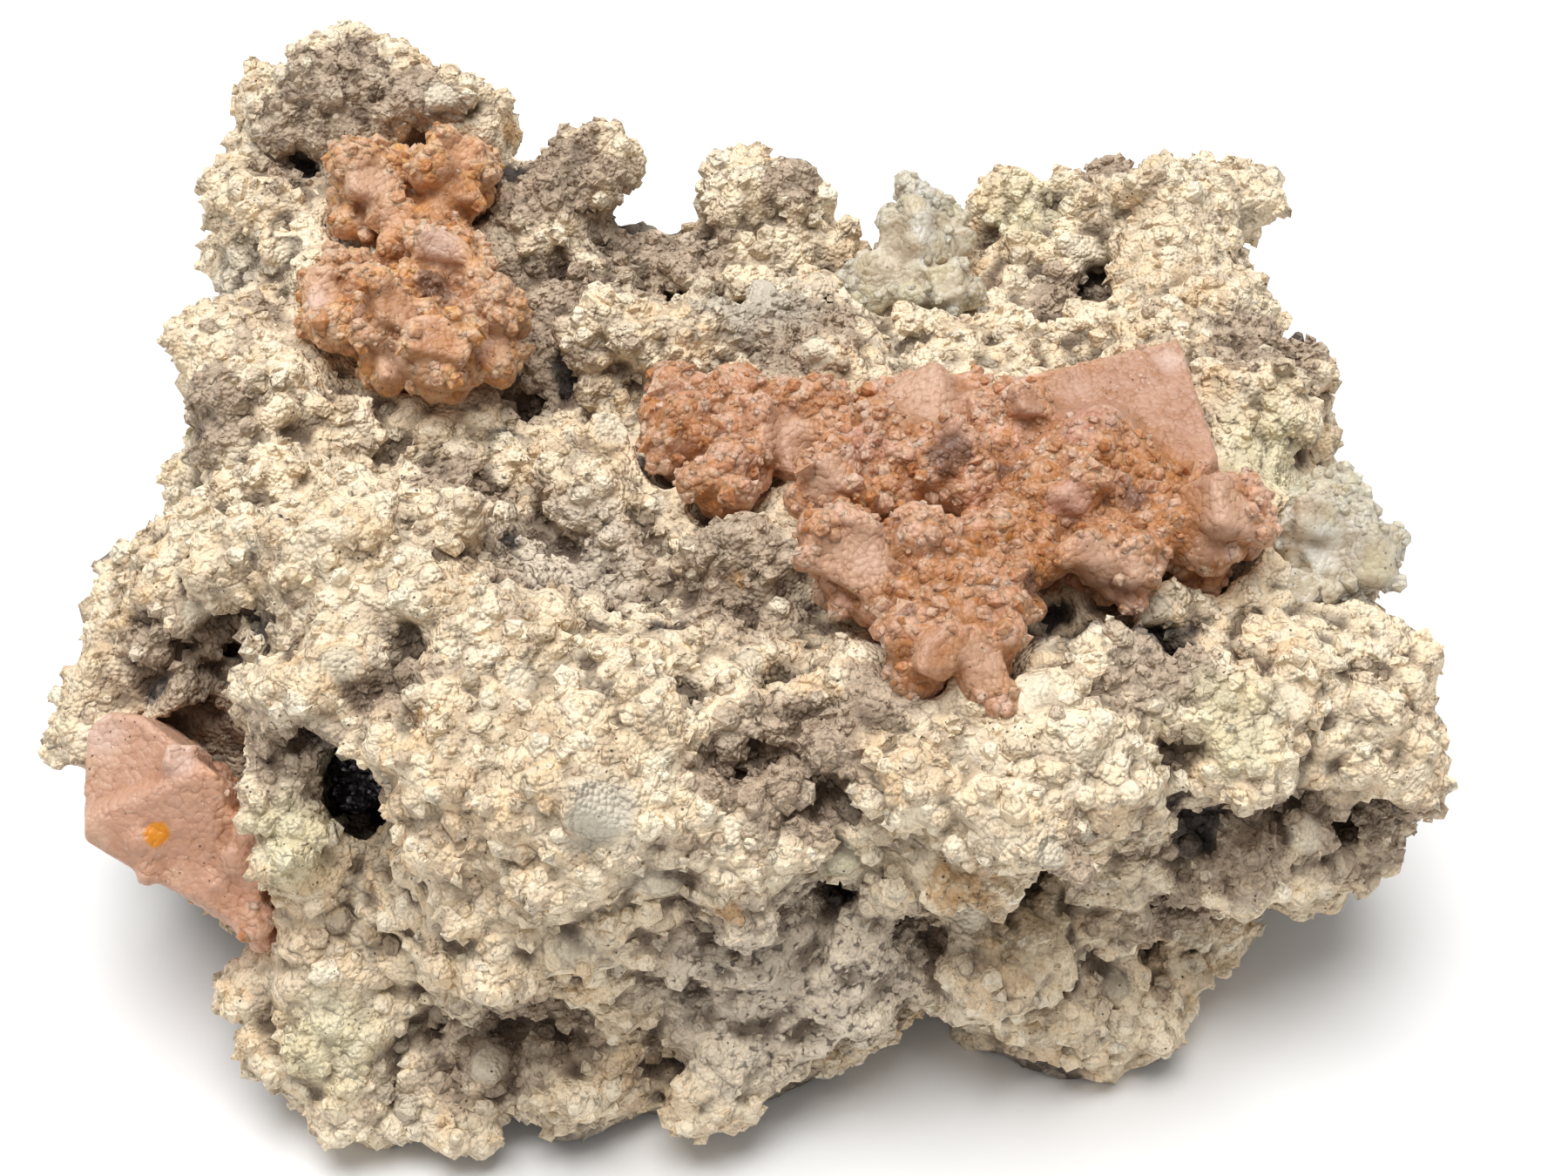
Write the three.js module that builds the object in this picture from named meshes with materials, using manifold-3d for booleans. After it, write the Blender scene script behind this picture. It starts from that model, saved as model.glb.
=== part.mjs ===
// A fluorite specimen: salmon-pink fluorite octahedra grown together on a hand-sized block of pale, crusty
// matrix. Millimetres, +Z up, +Y to the back. The block lies on a broken flat foot, leans out over it on all
// sides, and carries lumpy ledges, open pits and a peak at its back left corner. Three fluorite groups, two
// colourless crystal groups and a seam of black mineral are seated in sockets of the block.
import * as THREE from "three";
import { mergeVertices } from "three/addons/utils/BufferGeometryUtils.js";
import Module from "manifold-3d";

const wasm = await Module();
wasm.setup();

// ---- Driving dimensions ----
const SEAT_GAP = 0.3; // clearance between a crystal group and its socket
const PLATEAU = 29.6; // mean height of the core's level top
const INSET = 1.8; // how far the core lies inside the outlines, which its lumps reach
const BELOW_FOOT = 3; // depth of core that the flat cut of the foot takes off
const SECTORS = 50; // steps round the block's outline
const WIDE_LUMP = 7.6; // lumps longer than this, from middle to end, are rounder
const RAGGED = { least: 0.88, spread: 0.3 }; // how far a lump's corners lie out, as shares of its half-lengths
const TOOL = 240; // size of the block-shaped tool that makes the cut of the foot
const SWELLS = [
  { spacing: 12, height: 7.5 }, // rounded swells over the whole core, large and small
  { spacing: 6, height: 3.5 },
];
const SWELL_MEAN = 0.33; // mean of the squared distance to the nearest swell, in spacings

// Plan outlines, from the front left corner counter-clockwise: the foot, the widest belly and the upper rim.
const FOOT = [
  [-28, -31], [-14, -34.5], [0, -33.5], [7, -27], [14, -29.5], [24, -30], [29, -20], [30, 0], [28, 20],
  [12, 28], [-10, 29], [-28, 30], [-34, 16], [-35, -6], [-32, -22],
];
const BELLY = [
  [-37, -26.5], [-27, -30], [-18, -33.5], [-8, -34.5], [3, -32.5], [11, -30], [22, -27.5], [33, -25.5],
  [42.5, -21], [43.5, -12], [40.5, 2], [38.5, 18], [38, 31], [30, 37], [12, 34.5], [-8, 36], [-22, 40],
  [-38, 41.5], [-44, 30], [-45, 12], [-47.5, -6], [-46, -18],
];
const RIM = [
  [-37, -21], [-24, -27], [-11, -30], [1, -28], [10, -28], [22, -25.5], [32, -23], [41, -17],
  [42, -6], [39.5, 8], [38, 24], [36, 36], [24, 35.5], [8, 33.5], [-4, 35], [-12, 34.5], [-22, 37],
  [-33, 42], [-42.5, 40], [-44, 26], [-45, 10], [-45.5, -3], [-46, -13],
];

// Hills and hollows of the upper face: centre x, y, spread and height.
const RELIEF = [
  [-34, 37, 11, 9], // peak at the back left
  [-18, 32, 9, 4.5], // its shoulder
  [-38, 24, 9, 2.5], // left wall
  [-28, 22, 10, 2.5],
  [31, 32, 11, 3], // back right corner
  [-30, -11, 7, 2.5], // ridge along the left half
  [-20, -15, 7, 2.5],
  [-24, 1, 9, -4.5], // valley behind the ridge
  [-14, 10, 7, -2.5],
  [-7, 28, 6, -2], // hollow before the back rim
  [22, -2, 11, 1.5], // swell under the main fluorite
  [14, -22, 8, 1],
  [27, -16, 6, -3.5],
  [44, -15, 11, -6], // front right corner falls away
  [-49, -12, 10, -7], // left block lies lower
];

// Lumps and ledges fused to the block: centre x, y, z, then half-lengths along x, y and z.
const LUMPS = [
  [-41, -7.5, 25, 7, 6.5, 5.5], // left block
  [-43, -10, 20.5, 5.4, 6.4, 4.6],
  [-46, -14, 18.5, 4.2, 5.4, 5], // left edge knob
  [-35, -9.8, 30, 5.4, 4, 3.6], // ridge, from west to east
  [-28, -12.4, 30.6, 6.8, 3.6, 3.4],
  [-20.5, -15.4, 30, 7, 4.6, 3.6],
  [-28.5, -18.5, 27, 4.4, 4, 5], // hanging lump below the ridge
  [-32, -21.5, 22.5, 4.6, 5, 5],
  [-31, -25.8, 18.5, 4.4, 4.6, 5], // front left corner, downwards
  [-31, -27.4, 12, 5, 5, 5],
  [-29.5, -30, 6, 5.4, 5.4, 5.6],
  [-33, -27.4, 7.6, 4.4, 4.8, 5],
  [-27, -32.8, 3, 4.6, 4.6, 4.6],
  [-20, -25.5, 25, 7, 7, 6], // front bulge
  [-11, -27, 24.5, 9, 7, 7],
  [-15, -29, 18, 10, 6.4, 5.6],
  [-3, -27.5, 22.5, 6, 6, 6.6],
  [-21.5, -32, 3.6, 6.8, 5, 5], // lumps along the front of the foot
  [-13.5, -33.4, 4, 6, 4.8, 4.6],
  [-5, -32.4, 5.6, 7, 4.8, 6.6],
  [3, -29.5, 10, 6.4, 5.4, 7.5],
  [15.4, -24.4, 25.4, 10, 7.4, 5.2], // great ledge
  [11.2, -26.6, 20, 5.4, 5, 7],
  [21.8, -22, 25, 5, 6.2, 5.6],
  [29, -20.6, 24.6, 5.6, 5.4, 3.6], // right ledge
  [38, -17.4, 21, 7, 7.4, 5.6], // right corner
  [38, -12, 24, 6, 5.4, 4.6],
  [35.5, -19.6, 14.4, 6.4, 5.6, 5.4],
  [28, -21.8, 15, 6.8, 5.4, 5.4],
  [21.4, -23.6, 13, 5.4, 5.2, 5],
  [20, -27.6, 4, 6, 5.2, 6],
  [24.6, -28.2, 3.8, 4, 4.2, 4.4],
  [13, -28, 9.6, 4.8, 4.8, 5.4],
  [37, 12, 27, 3.4, 6, 4.4], // right rim
  [34.4, 31.6, 31, 5, 5, 4],
  [26, 33, 31, 6, 3.8, 3.6],
  [17.5, 32.4, 30, 3.8, 3.6, 3.6],
  [-1.2, 33, 30.4, 6, 3.8, 3.8], // back rim
  [-15, 31.2, 34, 5.8, 4.4, 4],
  [-33.4, 36.4, 38, 7.4, 5.8, 4.8], // peak
  [-40, 38.4, 35, 4.6, 4.4, 5],
  [-26.2, 36.6, 36.6, 4.2, 4, 4.2],
  [-42, 29, 31, 3.8, 7, 6.6], // left wall
  [-42, 14, 28, 3.4, 7, 5.6],
  [-29, -4.5, 29.5, 2.2, 2.2, 4.6], // knobs of the upper face
  [-6.5, 14, 30.5, 3.2, 3.2, 3],
  [-13, -0.5, 29.5, 5.4, 4.6, 3],
  [3, 20, 30, 5, 4, 2.6],
  [30, 14, 30.4, 6.4, 6.4, 3],
  [-2, -9.4, 30, 6, 4, 2.8],
  [-38, 5, 29.4, 4, 5, 3],
];

// Pits opened into the block, in the same form.
const PITS = [
  [-27.2, -27, 22, 2.8, 8, 4.4], // pocket of the black seam
  [-24.6, -19.4, 28, 2.2, 2.6, 3],
  [-36.6, -19, 24.4, 2.2, 7, 4.4], // recess under the left block
  [-39, -20.5, 21, 3.4, 6, 2.6],
  [-24.5, -36, 10.4, 6, 6, 2.6], // undercut below the front bulge
  [-15, -38, 10, 5.4, 5.4, 1.9],
  [3.6, -34.4, 17, 2, 5, 2.2],
  [28, -29.5, 20.2, 4.2, 6.4, 2], // cleft below the right ledge
  [33, -26, 18.6, 1.8, 6, 4.6],
  [17.8, -14.4, 31, 1.8, 1.8, 4],
  [26.6, -16.2, 30, 2.6, 2.8, 4.4],
  [18.5, -33, 10, 3, 5.4, 1.9],
  [25, -30, 9, 3.6, 6, 3.4],
  [23.5, 21.3, 31, 3, 2.6, 3.6],
  [-18, 10.6, 29, 2.6, 3.4, 3.6],
  [-9.6, 36.6, 33, 2.6, 4, 6], // step at the back rim
  [8, 35.6, 31, 5, 2.8, 3],
  [8.2, -33, 0, 5, 9, 4], // arch at the front of the foot
];

// Seeded knobs strewn over the block, between the named lumps and clear of the crystals.
const KNOBS = { count: 40, smallest: 1.8, largest: 4.6, flattest: 0.7, seed: 21, clearance: 3 };

// Fluorite crystals: centre x, y, z, centre-to-corner reach, flattening, and turns about x, y and z in degrees.
const CENTRE_CRYSTALS = [
  [21.2, -2.6, 30.2, 12, 0.52, -14, 6, 50], // the largest octahedron, with its broad face upwards
  [24.8, 3.4, 31.6, 5.6, 0.8, -12, 8, 20],
  [16.2, 0.4, 32, 5.2, 0.8, -20, 0, 55],
  [18.6, -8, 32, 4.2, 0.8, -30, 0, 30],
  [21.6, -12, 31.2, 4.4, 0.8, -35, 10, 60],
  [25.8, -8.8, 31, 4, 0.9, -30, -20, 10],
  [28.4, -8.2, 30.2, 4.4, 1, -25, 10, 20],
  [15, -11.4, 31.6, 5, 0.8, -20, 0, 35],
  [9, -14, 31.4, 7.4, 0.66, -16, -4, 25], // the tail, towards the front ledge
  [4.8, -13.6, 31.4, 4, 0.9, -25, 12, 60],
  [13, -17, 32, 4.4, 0.9, -20, 6, 10],
  [8.8, -20.6, 31.8, 3.6, 1, -40, 20, 30],
  [12.6, -20.4, 31.8, 3.4, 1, -35, -15, 50],
  [6.8, -1.6, 30.6, 7.8, 0.66, -16, 4, 44], // the middle crystal and those on it
  [10, 3.2, 32, 4.8, 0.9, -20, 10, 15],
  [3.4, -5.8, 31.8, 3.8, 0.9, -30, -10, 30],
  [11.4, -3.6, 32.6, 4, 0.9, -25, 12, 65],
  [1.6, 3.4, 31.4, 4, 0.9, -22, -6, 40],
  [-2, 0.6, 31.2, 4, 0.9, -25, 15, 10], // the left band of smaller crystals
  [-3.6, 5, 31.2, 3.8, 0.9, -20, -12, 50],
  [-4, -3.6, 30.8, 3.6, 0.9, -28, 8, 25],
  [-7.4, 1.4, 30.8, 3.8, 0.9, -22, 18, 65],
  [-7.6, 5.8, 30.8, 3.4, 0.9, -18, -8, 35],
];
const BACK_CRYSTALS = [
  [-27.4, 13.4, 32, 8, 0.62, -18, 8, 30], // the lower group
  [-32.4, 16.4, 33, 4.6, 0.8, -25, -10, 55],
  [-24.6, 17, 34, 4.6, 0.9, -15, 10, 45],
  [-21.6, 13.4, 32.8, 4, 0.9, -22, -14, 25],
  [-28.8, 11, 33.4, 3.8, 0.9, -24, 6, 60],
  [-25, 8.6, 31.8, 4, 0.9, -26, 12, 20],
  [-28.6, 26, 34.6, 7.4, 0.62, -14, 5, 38], // the upper group
  [-24.8, 27.8, 36.2, 4.2, 0.9, -12, -12, 50],
  [-31.6, 23.6, 35.2, 4, 0.9, -18, -8, 60],
  [-26.6, 20.4, 34.4, 5, 0.9, -20, 10, 20],
];
const EDGE_CRYSTALS = [
  [-39.4, -21.6, 17.6, 8.4, 0.86, 12, 28, 24], // the octahedron that leans out at the left
  [-36, -23.8, 15, 6.4, 0.8, 16, 30, 22],
  [-42.2, -20, 18.4, 5, 0.8, 4, 22, 40],
];
const COLOURLESS_BACK = [
  [10.4, 24, 30.4, 5, 0.9, 20, 12, 30],
  [7.4, 22.2, 30, 4, 0.9, 10, -14, 55],
  [12.6, 20.8, 30, 3.2, 0.9, 24, 8, 10],
  [10.8, 29, 30.4, 3.4, 1.2, 6, 10, 40],
];
const COLOURLESS_RIGHT = [
  [37.6, -5.4, 27, 6, 0.8, -18, 16, 32],
  [38.4, -1.6, 27.4, 3.8, 0.9, -10, 20, 12],
  [36.6, -9, 26.2, 3.2, 0.9, -20, 4, 60],
];
const BLACK_GRAINS = [
  [-27.2, -20.6, 21.6, 2, 1, 10, 20, 30],
  [-27.6, -21, 19.8, 1.9, 1, 40, 0, 60],
  [-26.8, -20.8, 23.2, 1.7, 1, 0, 35, 15],
];

// ---- Solids ----

// A repeatable stream of numbers from 0 to 1.
function randomStream(seed) {
  let state = seed;
  return () => {
    state = (state * 1664525 + 1013904223) % 4294967296;
    return state / 4294967296;
  };
}

// A closed geometry as a solid that can be joined and cut.
function solidOf(geometry) {
  const bare = geometry.clone();
  bare.deleteAttribute("normal");
  bare.deleteAttribute("uv");
  const merged = mergeVertices(bare, 1e-4);
  return new wasm.Manifold(
    new wasm.Mesh({
      numProp: 3,
      vertProperties: new Float32Array(merged.attributes.position.array),
      triVerts: new Uint32Array(merged.index.array),
    }),
  );
}

function geometryOf(solid) {
  const mesh = solid.getMesh();
  const geometry = new THREE.BufferGeometry();
  geometry.setAttribute("position", new THREE.BufferAttribute(new Float32Array(mesh.vertProperties), 3));
  geometry.setIndex(new THREE.BufferAttribute(new Uint32Array(mesh.triVerts), 1));
  geometry.computeVertexNormals();
  return geometry;
}

// The distance from the Z axis to a closed outline, as a function of the angle.
function reachOf(outline) {
  const corners = outline.map(([x, y]) => new THREE.Vector3(x, y, 0));
  const curve = new THREE.CatmullRomCurve3(corners, true, "centripetal");
  const steps = outline.length * 12; // points on the curve for each corner of the outline
  const samples = curve.getPoints(steps);
  return (angle) => {
    const facing = new THREE.Vector2(Math.cos(angle), Math.sin(angle));
    const offLine = (point) => Math.abs(Math.atan2(facing.cross(point), facing.dot(point)));
    const nearest = samples.reduce((a, b) => (offLine(a) < offLine(b) ? a : b));
    return Math.hypot(nearest.x, nearest.y);
  };
}

// Height of the upper face before its lumps.
function topHeight(x, y) {
  const bump = ([cx, cy, spread, height]) =>
    height * Math.exp(-((x - cx) ** 2 + (y - cy) ** 2) / (spread * spread));
  return RELIEF.reduce((sum, hill) => sum + bump(hill), PLATEAU);
}

// A fixed, patternless number from 0 to 1 for a cell of space.
function scatter(cell, kind) {
  const wave = Math.sin(cell.x * (12.99 + kind) + cell.y * 78.23 + cell.z * (37.72 - kind)) * 437.5;
  return wave - Math.floor(wave);
}

// Height of rounded swells with creases between them, packed side by side, at a place on the surface.
function swellAt(place, { spacing, height }) {
  const here = place.clone().divideScalar(spacing);
  const home = here.clone().floor();
  let nearest = Infinity;
  for (let i = 0; i < 27; i++) {
    const step = new THREE.Vector3((i % 3) - 1, (Math.floor(i / 3) % 3) - 1, Math.floor(i / 9) - 1);
    const cell = home.clone().add(step);
    const middle = new THREE.Vector3(scatter(cell, 0), scatter(cell, 5), scatter(cell, 9)).add(cell);
    nearest = Math.min(nearest, middle.distanceToSquared(here));
  }
  return height * (SWELL_MEAN - nearest);
}

// The block without lumps: rings rise from the foot over the belly to the rim, then close over the top.
function blockCore() {
  const foot = reachOf(FOOT);
  const belly = reachOf(BELLY);
  const rim = reachOf(RIM);
  const mix = THREE.MathUtils.lerp;
  const rings = [
    { rise: 0, reach: foot },
    { rise: 0.12, reach: (a) => mix(foot(a), belly(a), 0.25) },
    { rise: 0.25, reach: (a) => mix(foot(a), belly(a), 0.6) },
    { rise: 0.38, reach: (a) => mix(foot(a), belly(a), 0.85) },
    { rise: 0.52, reach: belly },
    { rise: 0.66, reach: (a) => mix(belly(a), rim(a), 0.15) },
    { rise: 0.8, reach: (a) => mix(belly(a), rim(a), 0.5) },
    { rise: 0.92, reach: rim },
    ...[0.93, 0.83, 0.72, 0.61, 0.5, 0.39, 0.28, 0.15].map((share) => ({
      rise: 1,
      reach: (a) => rim(a) * share,
    })),
  ];
  const points = [];
  for (const { rise, reach } of rings) {
    for (let i = 0; i < SECTORS; i++) {
      const angle = (i / SECTORS) * 2 * Math.PI;
      const out = reach(angle) - INSET;
      const x = out * Math.cos(angle);
      const y = out * Math.sin(angle);
      points.push(x, y, mix(-BELOW_FOOT, topHeight(x, y), rise));
    }
  }
  const bottom = points.length / 3;
  points.push(0, 0, -BELOW_FOOT, 0, 0, topHeight(0, 0));
  const faces = [];
  for (let i = 0; i < SECTORS; i++) {
    const next = (i + 1) % SECTORS;
    faces.push(bottom, next, i);
    for (let ring = 0; ring < rings.length - 1; ring++) {
      const low = ring * SECTORS;
      const high = low + SECTORS;
      faces.push(low + i, low + next, high + next, low + i, high + next, high + i);
    }
    const last = (rings.length - 1) * SECTORS;
    faces.push(last + i, last + next, bottom + 1);
  }
  const geometry = new THREE.BufferGeometry();
  geometry.setAttribute("position", new THREE.BufferAttribute(new Float32Array(points), 3));
  geometry.setIndex(faces);
  geometry.computeVertexNormals();
  const { position, normal } = geometry.attributes;
  const outward = new THREE.Vector3();
  for (let i = 0; i < bottom; i++) {
    const place = new THREE.Vector3().fromBufferAttribute(position, i);
    const rise = SWELLS.reduce((sum, swell) => sum + swellAt(place, swell), 0);
    place.addScaledVector(outward.fromBufferAttribute(normal, i), rise);
    position.setXYZ(i, place.x, place.y, place.z);
  }
  return geometry;
}

// A rough rounded lump with the given centre and half-lengths. Wide lumps have 80 faces and small ones 20.
function lump([x, y, z, rx, ry, rz], random) {
  const bare = new THREE.IcosahedronGeometry(1, Math.max(rx, ry, rz) > WIDE_LUMP ? 1 : 0);
  bare.deleteAttribute("normal");
  bare.deleteAttribute("uv");
  const welded = mergeVertices(bare, 1e-4);
  const place = welded.attributes.position;
  const turn = new THREE.Euler(...[0, 0, 0].map(() => random() * 2 * Math.PI));
  const corner = new THREE.Vector3();
  for (let i = 0; i < place.count; i++) {
    corner.fromBufferAttribute(place, i).applyEuler(turn);
    corner.multiplyScalar(RAGGED.least + RAGGED.spread * random()).multiply(new THREE.Vector3(rx, ry, rz));
    place.setXYZ(i, corner.x + x, corner.y + y, corner.z + z);
  }
  return solidOf(welded);
}

// Small knobs seated on the block's own surface, chosen by a seeded draw.
function knobsOn(core, crystals) {
  const random = randomStream(KNOBS.seed);
  const place = core.attributes.position;
  const made = [];
  while (made.length < KNOBS.count) {
    const at = new THREE.Vector3().fromBufferAttribute(place, Math.floor(random() * place.count));
    const covers = ([x, y, z, reach]) => at.distanceTo(new THREE.Vector3(x, y, z)) < reach + KNOBS.clearance;
    if (at.z < KNOBS.largest || crystals.some(covers)) continue;
    const size = THREE.MathUtils.lerp(KNOBS.smallest, KNOBS.largest, random() ** 2);
    const lengths = [1, 1, 1].map(() => size * (KNOBS.flattest + (1 - KNOBS.flattest) * random()));
    made.push(lump([at.x, at.y, at.z, ...lengths], random));
  }
  return made;
}

// Octahedra grown together as one solid. grow moves every face outwards, for cutting the socket.
function crystalGroup(crystals, grow = 0) {
  const toCorner = Math.sqrt(3); // an octahedron's corner moves this much further than its faces
  const parts = crystals.map(([x, y, z, reach, flat, turnX, turnY, turnZ]) => {
    const geometry = new THREE.OctahedronGeometry(reach + grow * toCorner, 0);
    const [ax, ay, az] = [turnX, turnY, turnZ].map(THREE.MathUtils.degToRad);
    geometry.scale(1, 1, flat + (grow * (1 - flat) * toCorner) / reach);
    geometry.rotateZ(az);
    geometry.rotateY(ay);
    geometry.rotateX(ax);
    geometry.translate(x, y, z);
    return solidOf(geometry);
  });
  return wasm.Manifold.union(parts);
}

// ---- The block ----
const core = blockCore();
const lumpRandom = randomStream(23);
const groundTool = solidOf(new THREE.BoxGeometry(TOOL, TOOL, TOOL).translate(0, 0, -TOOL / 2));
const groups = {
  fluorite_centre: CENTRE_CRYSTALS,
  fluorite_back_left: BACK_CRYSTALS,
  fluorite_left_edge: EDGE_CRYSTALS,
  colourless_crystals_back: COLOURLESS_BACK,
  colourless_crystals_right: COLOURLESS_RIGHT,
  black_seam: BLACK_GRAINS,
};
const joined = wasm.Manifold.union([
  solidOf(core),
  ...LUMPS.map((sizes) => lump(sizes, lumpRandom)),
  ...knobsOn(core, Object.values(groups).flat()),
]);
const cutters = [
  groundTool,
  ...PITS.map((sizes) => lump(sizes, lumpRandom)),
  ...Object.values(groups).map((crystals) => crystalGroup(crystals, SEAT_GAP)),
];
const cut = joined.subtract(wasm.Manifold.union(cutters));
// Crumbs that a pit leaves loose are dropped, and the block itself is kept.
const block = cut.decompose().reduce((a, b) => (a.volume() > b.volume() ? a : b));

// ---- Materials ----
const finish = (color, roughness) =>
  new THREE.MeshStandardMaterial({ color, roughness, metalness: 0, flatShading: true });
const salmon = finish(0xd68f72, 0.35);
const colourless = finish(0xd3d2c4, 0.3);
const finishes = {
  fluorite_centre: salmon,
  fluorite_back_left: salmon,
  fluorite_left_edge: salmon,
  colourless_crystals_back: colourless,
  colourless_crystals_right: colourless,
  black_seam: finish(0x1d1c20, 0.4),
};

// ---- Assembly ----
const specimen = new THREE.Group();
const matrix = new THREE.Mesh(geometryOf(block), finish(0xcfc4aa, 0.9));
matrix.name = "matrix";
specimen.add(matrix);
for (const [name, crystals] of Object.entries(groups)) {
  const crystal = new THREE.Mesh(geometryOf(crystalGroup(crystals)), finishes[name]);
  crystal.name = name;
  specimen.add(crystal);
}
// The frame's origin is the middle of the part's box, at the surface it lies on.
const extent = new THREE.Box3().setFromObject(specimen);
const middle = extent.getCenter(new THREE.Vector3());
specimen.position.set(-middle.x, -middle.y, -extent.min.z);

export default specimen;
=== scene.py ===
import math
import random

import bmesh
import bpy
import numpy as np
from mathutils import Euler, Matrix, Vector, noise
from mathutils.bvhtree import BVHTree


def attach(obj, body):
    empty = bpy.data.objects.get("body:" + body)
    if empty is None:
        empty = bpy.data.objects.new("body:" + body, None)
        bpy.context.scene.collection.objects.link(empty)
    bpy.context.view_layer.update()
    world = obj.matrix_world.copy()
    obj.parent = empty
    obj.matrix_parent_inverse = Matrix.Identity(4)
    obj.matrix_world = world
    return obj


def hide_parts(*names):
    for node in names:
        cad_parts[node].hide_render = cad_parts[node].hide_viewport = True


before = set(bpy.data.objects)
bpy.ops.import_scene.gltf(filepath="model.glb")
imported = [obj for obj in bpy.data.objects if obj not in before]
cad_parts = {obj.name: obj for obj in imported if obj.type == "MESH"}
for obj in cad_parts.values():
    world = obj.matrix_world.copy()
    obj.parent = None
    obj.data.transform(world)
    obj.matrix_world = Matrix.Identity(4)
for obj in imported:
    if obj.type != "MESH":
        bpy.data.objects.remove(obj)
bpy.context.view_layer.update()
MM = 0.001

# ---- Camera ----
# One camera, in front of the specimen and well above it, as a collector looks at a piece on a table. Places
# on the specimen that are listed are counted in its frame, across and down.
TARGET = Vector((2.76, -3.21, 18.0)) * MM
DISTANCE = 160 * MM
LOOK_DOWN = math.radians(42)
LENS, SENSOR = 50, 36
ACROSS, DOWN = 1800, 1350  # width and height of the frame

camera_data = bpy.data.cameras.new("camera")
camera_data.lens, camera_data.sensor_width = LENS, SENSOR
camera_data.clip_start, camera_data.clip_end = 0.01, 10
camera = bpy.data.objects.new("camera", camera_data)
bpy.context.scene.collection.objects.link(camera)
camera.location = TARGET + Vector((0, -math.cos(LOOK_DOWN), math.sin(LOOK_DOWN))) * DISTANCE
camera.rotation_euler = (math.pi / 2 - LOOK_DOWN, 0, 0)
bpy.context.scene.camera = camera


def sight_line(across, down):
    """The direction from the camera through a point of its frame."""
    right, up = across - ACROSS / 2, DOWN / 2 - down
    ahead = Vector((right * SENSOR / LENS / ACROSS, up * SENSOR / LENS / ACROSS, -1))
    return (Euler(camera.rotation_euler).to_matrix() @ ahead).normalized()


# ---- The block of rock ----
# A loose block of grey host rock under a crust of cream and beige grains, from fine sand to lumps of several
# millimetres, with pores and pits between them. It is one natural piece. Its mesh is cut into slabs side by
# side, which meet edge to edge, so that none is over-heavy.
BASE_VOXEL = 0.8 * MM
CRUST_VOXEL = 0.48 * MM
FOOT_BAND = 0.6 * MM  # below this the block stays flat, as its foot is
SLABS = 5


def merged_copy(node, name):
    """A CAD node's mesh as a new object, with its loose triangles joined up."""
    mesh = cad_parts[node].data.copy()
    mesh.materials.clear()
    form = bmesh.new()
    form.from_mesh(mesh)
    bmesh.ops.remove_doubles(form, verts=form.verts, dist=0.001 * MM)
    form.to_mesh(mesh)
    form.free()
    made = bpy.data.objects.new(name, mesh)
    bpy.context.scene.collection.objects.link(made)
    return made


def settle(thing):
    """Turns an object's modifiers into plain mesh."""
    graph = bpy.context.evaluated_depsgraph_get()
    mesh = bpy.data.meshes.new_from_object(thing.evaluated_get(graph))
    thing.modifiers.clear()
    old = thing.data
    thing.data = mesh
    bpy.data.meshes.remove(old)
    return thing


def fuse(thing, voxel):
    """Joins everything that overlaps in a mesh into one closed skin."""
    skin = thing.modifiers.new("fuse", "REMESH")
    skin.mode = "VOXEL"
    skin.voxel_size = voxel
    return settle(thing)


def places(mesh):
    flat = np.empty(len(mesh.vertices) * 3, np.float32)
    mesh.vertices.foreach_get("co", flat)
    return flat.reshape(-1, 3)


def facings(mesh):
    flat = np.empty(len(mesh.vertices) * 3, np.float32)
    mesh.vertex_normals.foreach_get("vector", flat)
    return flat.reshape(-1, 3)


def move_to(mesh, where):
    mesh.vertices.foreach_set("co", where.astype(np.float32).ravel())
    mesh.update()


def paint(mesh, name, values):
    """Stores one number for each point of a mesh."""
    layer = mesh.attributes.get(name) or mesh.attributes.new(name, "FLOAT", "POINT")
    layer.data.foreach_set("value", values.astype(np.float32))


def neighbour_mean(mesh, values, rounds):
    """Each point's value averaged with its neighbours', a number of times over."""
    ends = np.empty(len(mesh.edges) * 2, np.int32)
    mesh.edges.foreach_get("vertices", ends)
    a, b = ends.reshape(-1, 2).T
    count = len(mesh.vertices)
    share = np.maximum(np.bincount(a, minlength=count) + np.bincount(b, minlength=count), 1)
    values = values.reshape(count, -1).astype(np.float64)
    for _ in range(rounds):
        sums = [np.bincount(a, column[b], count) + np.bincount(b, column[a], count) for column in values.T]
        values = np.stack(sums, axis=1) / share[:, None]
    return values


def closeness(where, centre, reach):
    """1 at a centre, falling smoothly to 0 at its reach."""
    away = np.linalg.norm(where - np.array(centre, np.float32), axis=1) / reach
    return np.clip(1 - away * away, 0, 1) ** 2


class Tree:
    """A node tree, for a material or for Geometry Nodes, that nodes are added to by one method."""

    def __init__(self, nodes, links):
        self.nodes, self.links = nodes, links

    def add(self, kind, settings=None, values=(), out=0):
        """Adds a node, sets it up, gives its sockets values or links, and returns one of its outputs."""
        node = self.nodes.new(kind)
        for name, value in (settings or {}).items():
            setattr(node, name, value)
        pairs = values.items() if isinstance(values, dict) else enumerate(values)
        for socket, value in pairs:
            if isinstance(value, Wire):
                self.links.new(value.socket, node.inputs[socket])
            else:
                node.inputs[socket].default_value = value
        return Wire(self, node.outputs[out])


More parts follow.
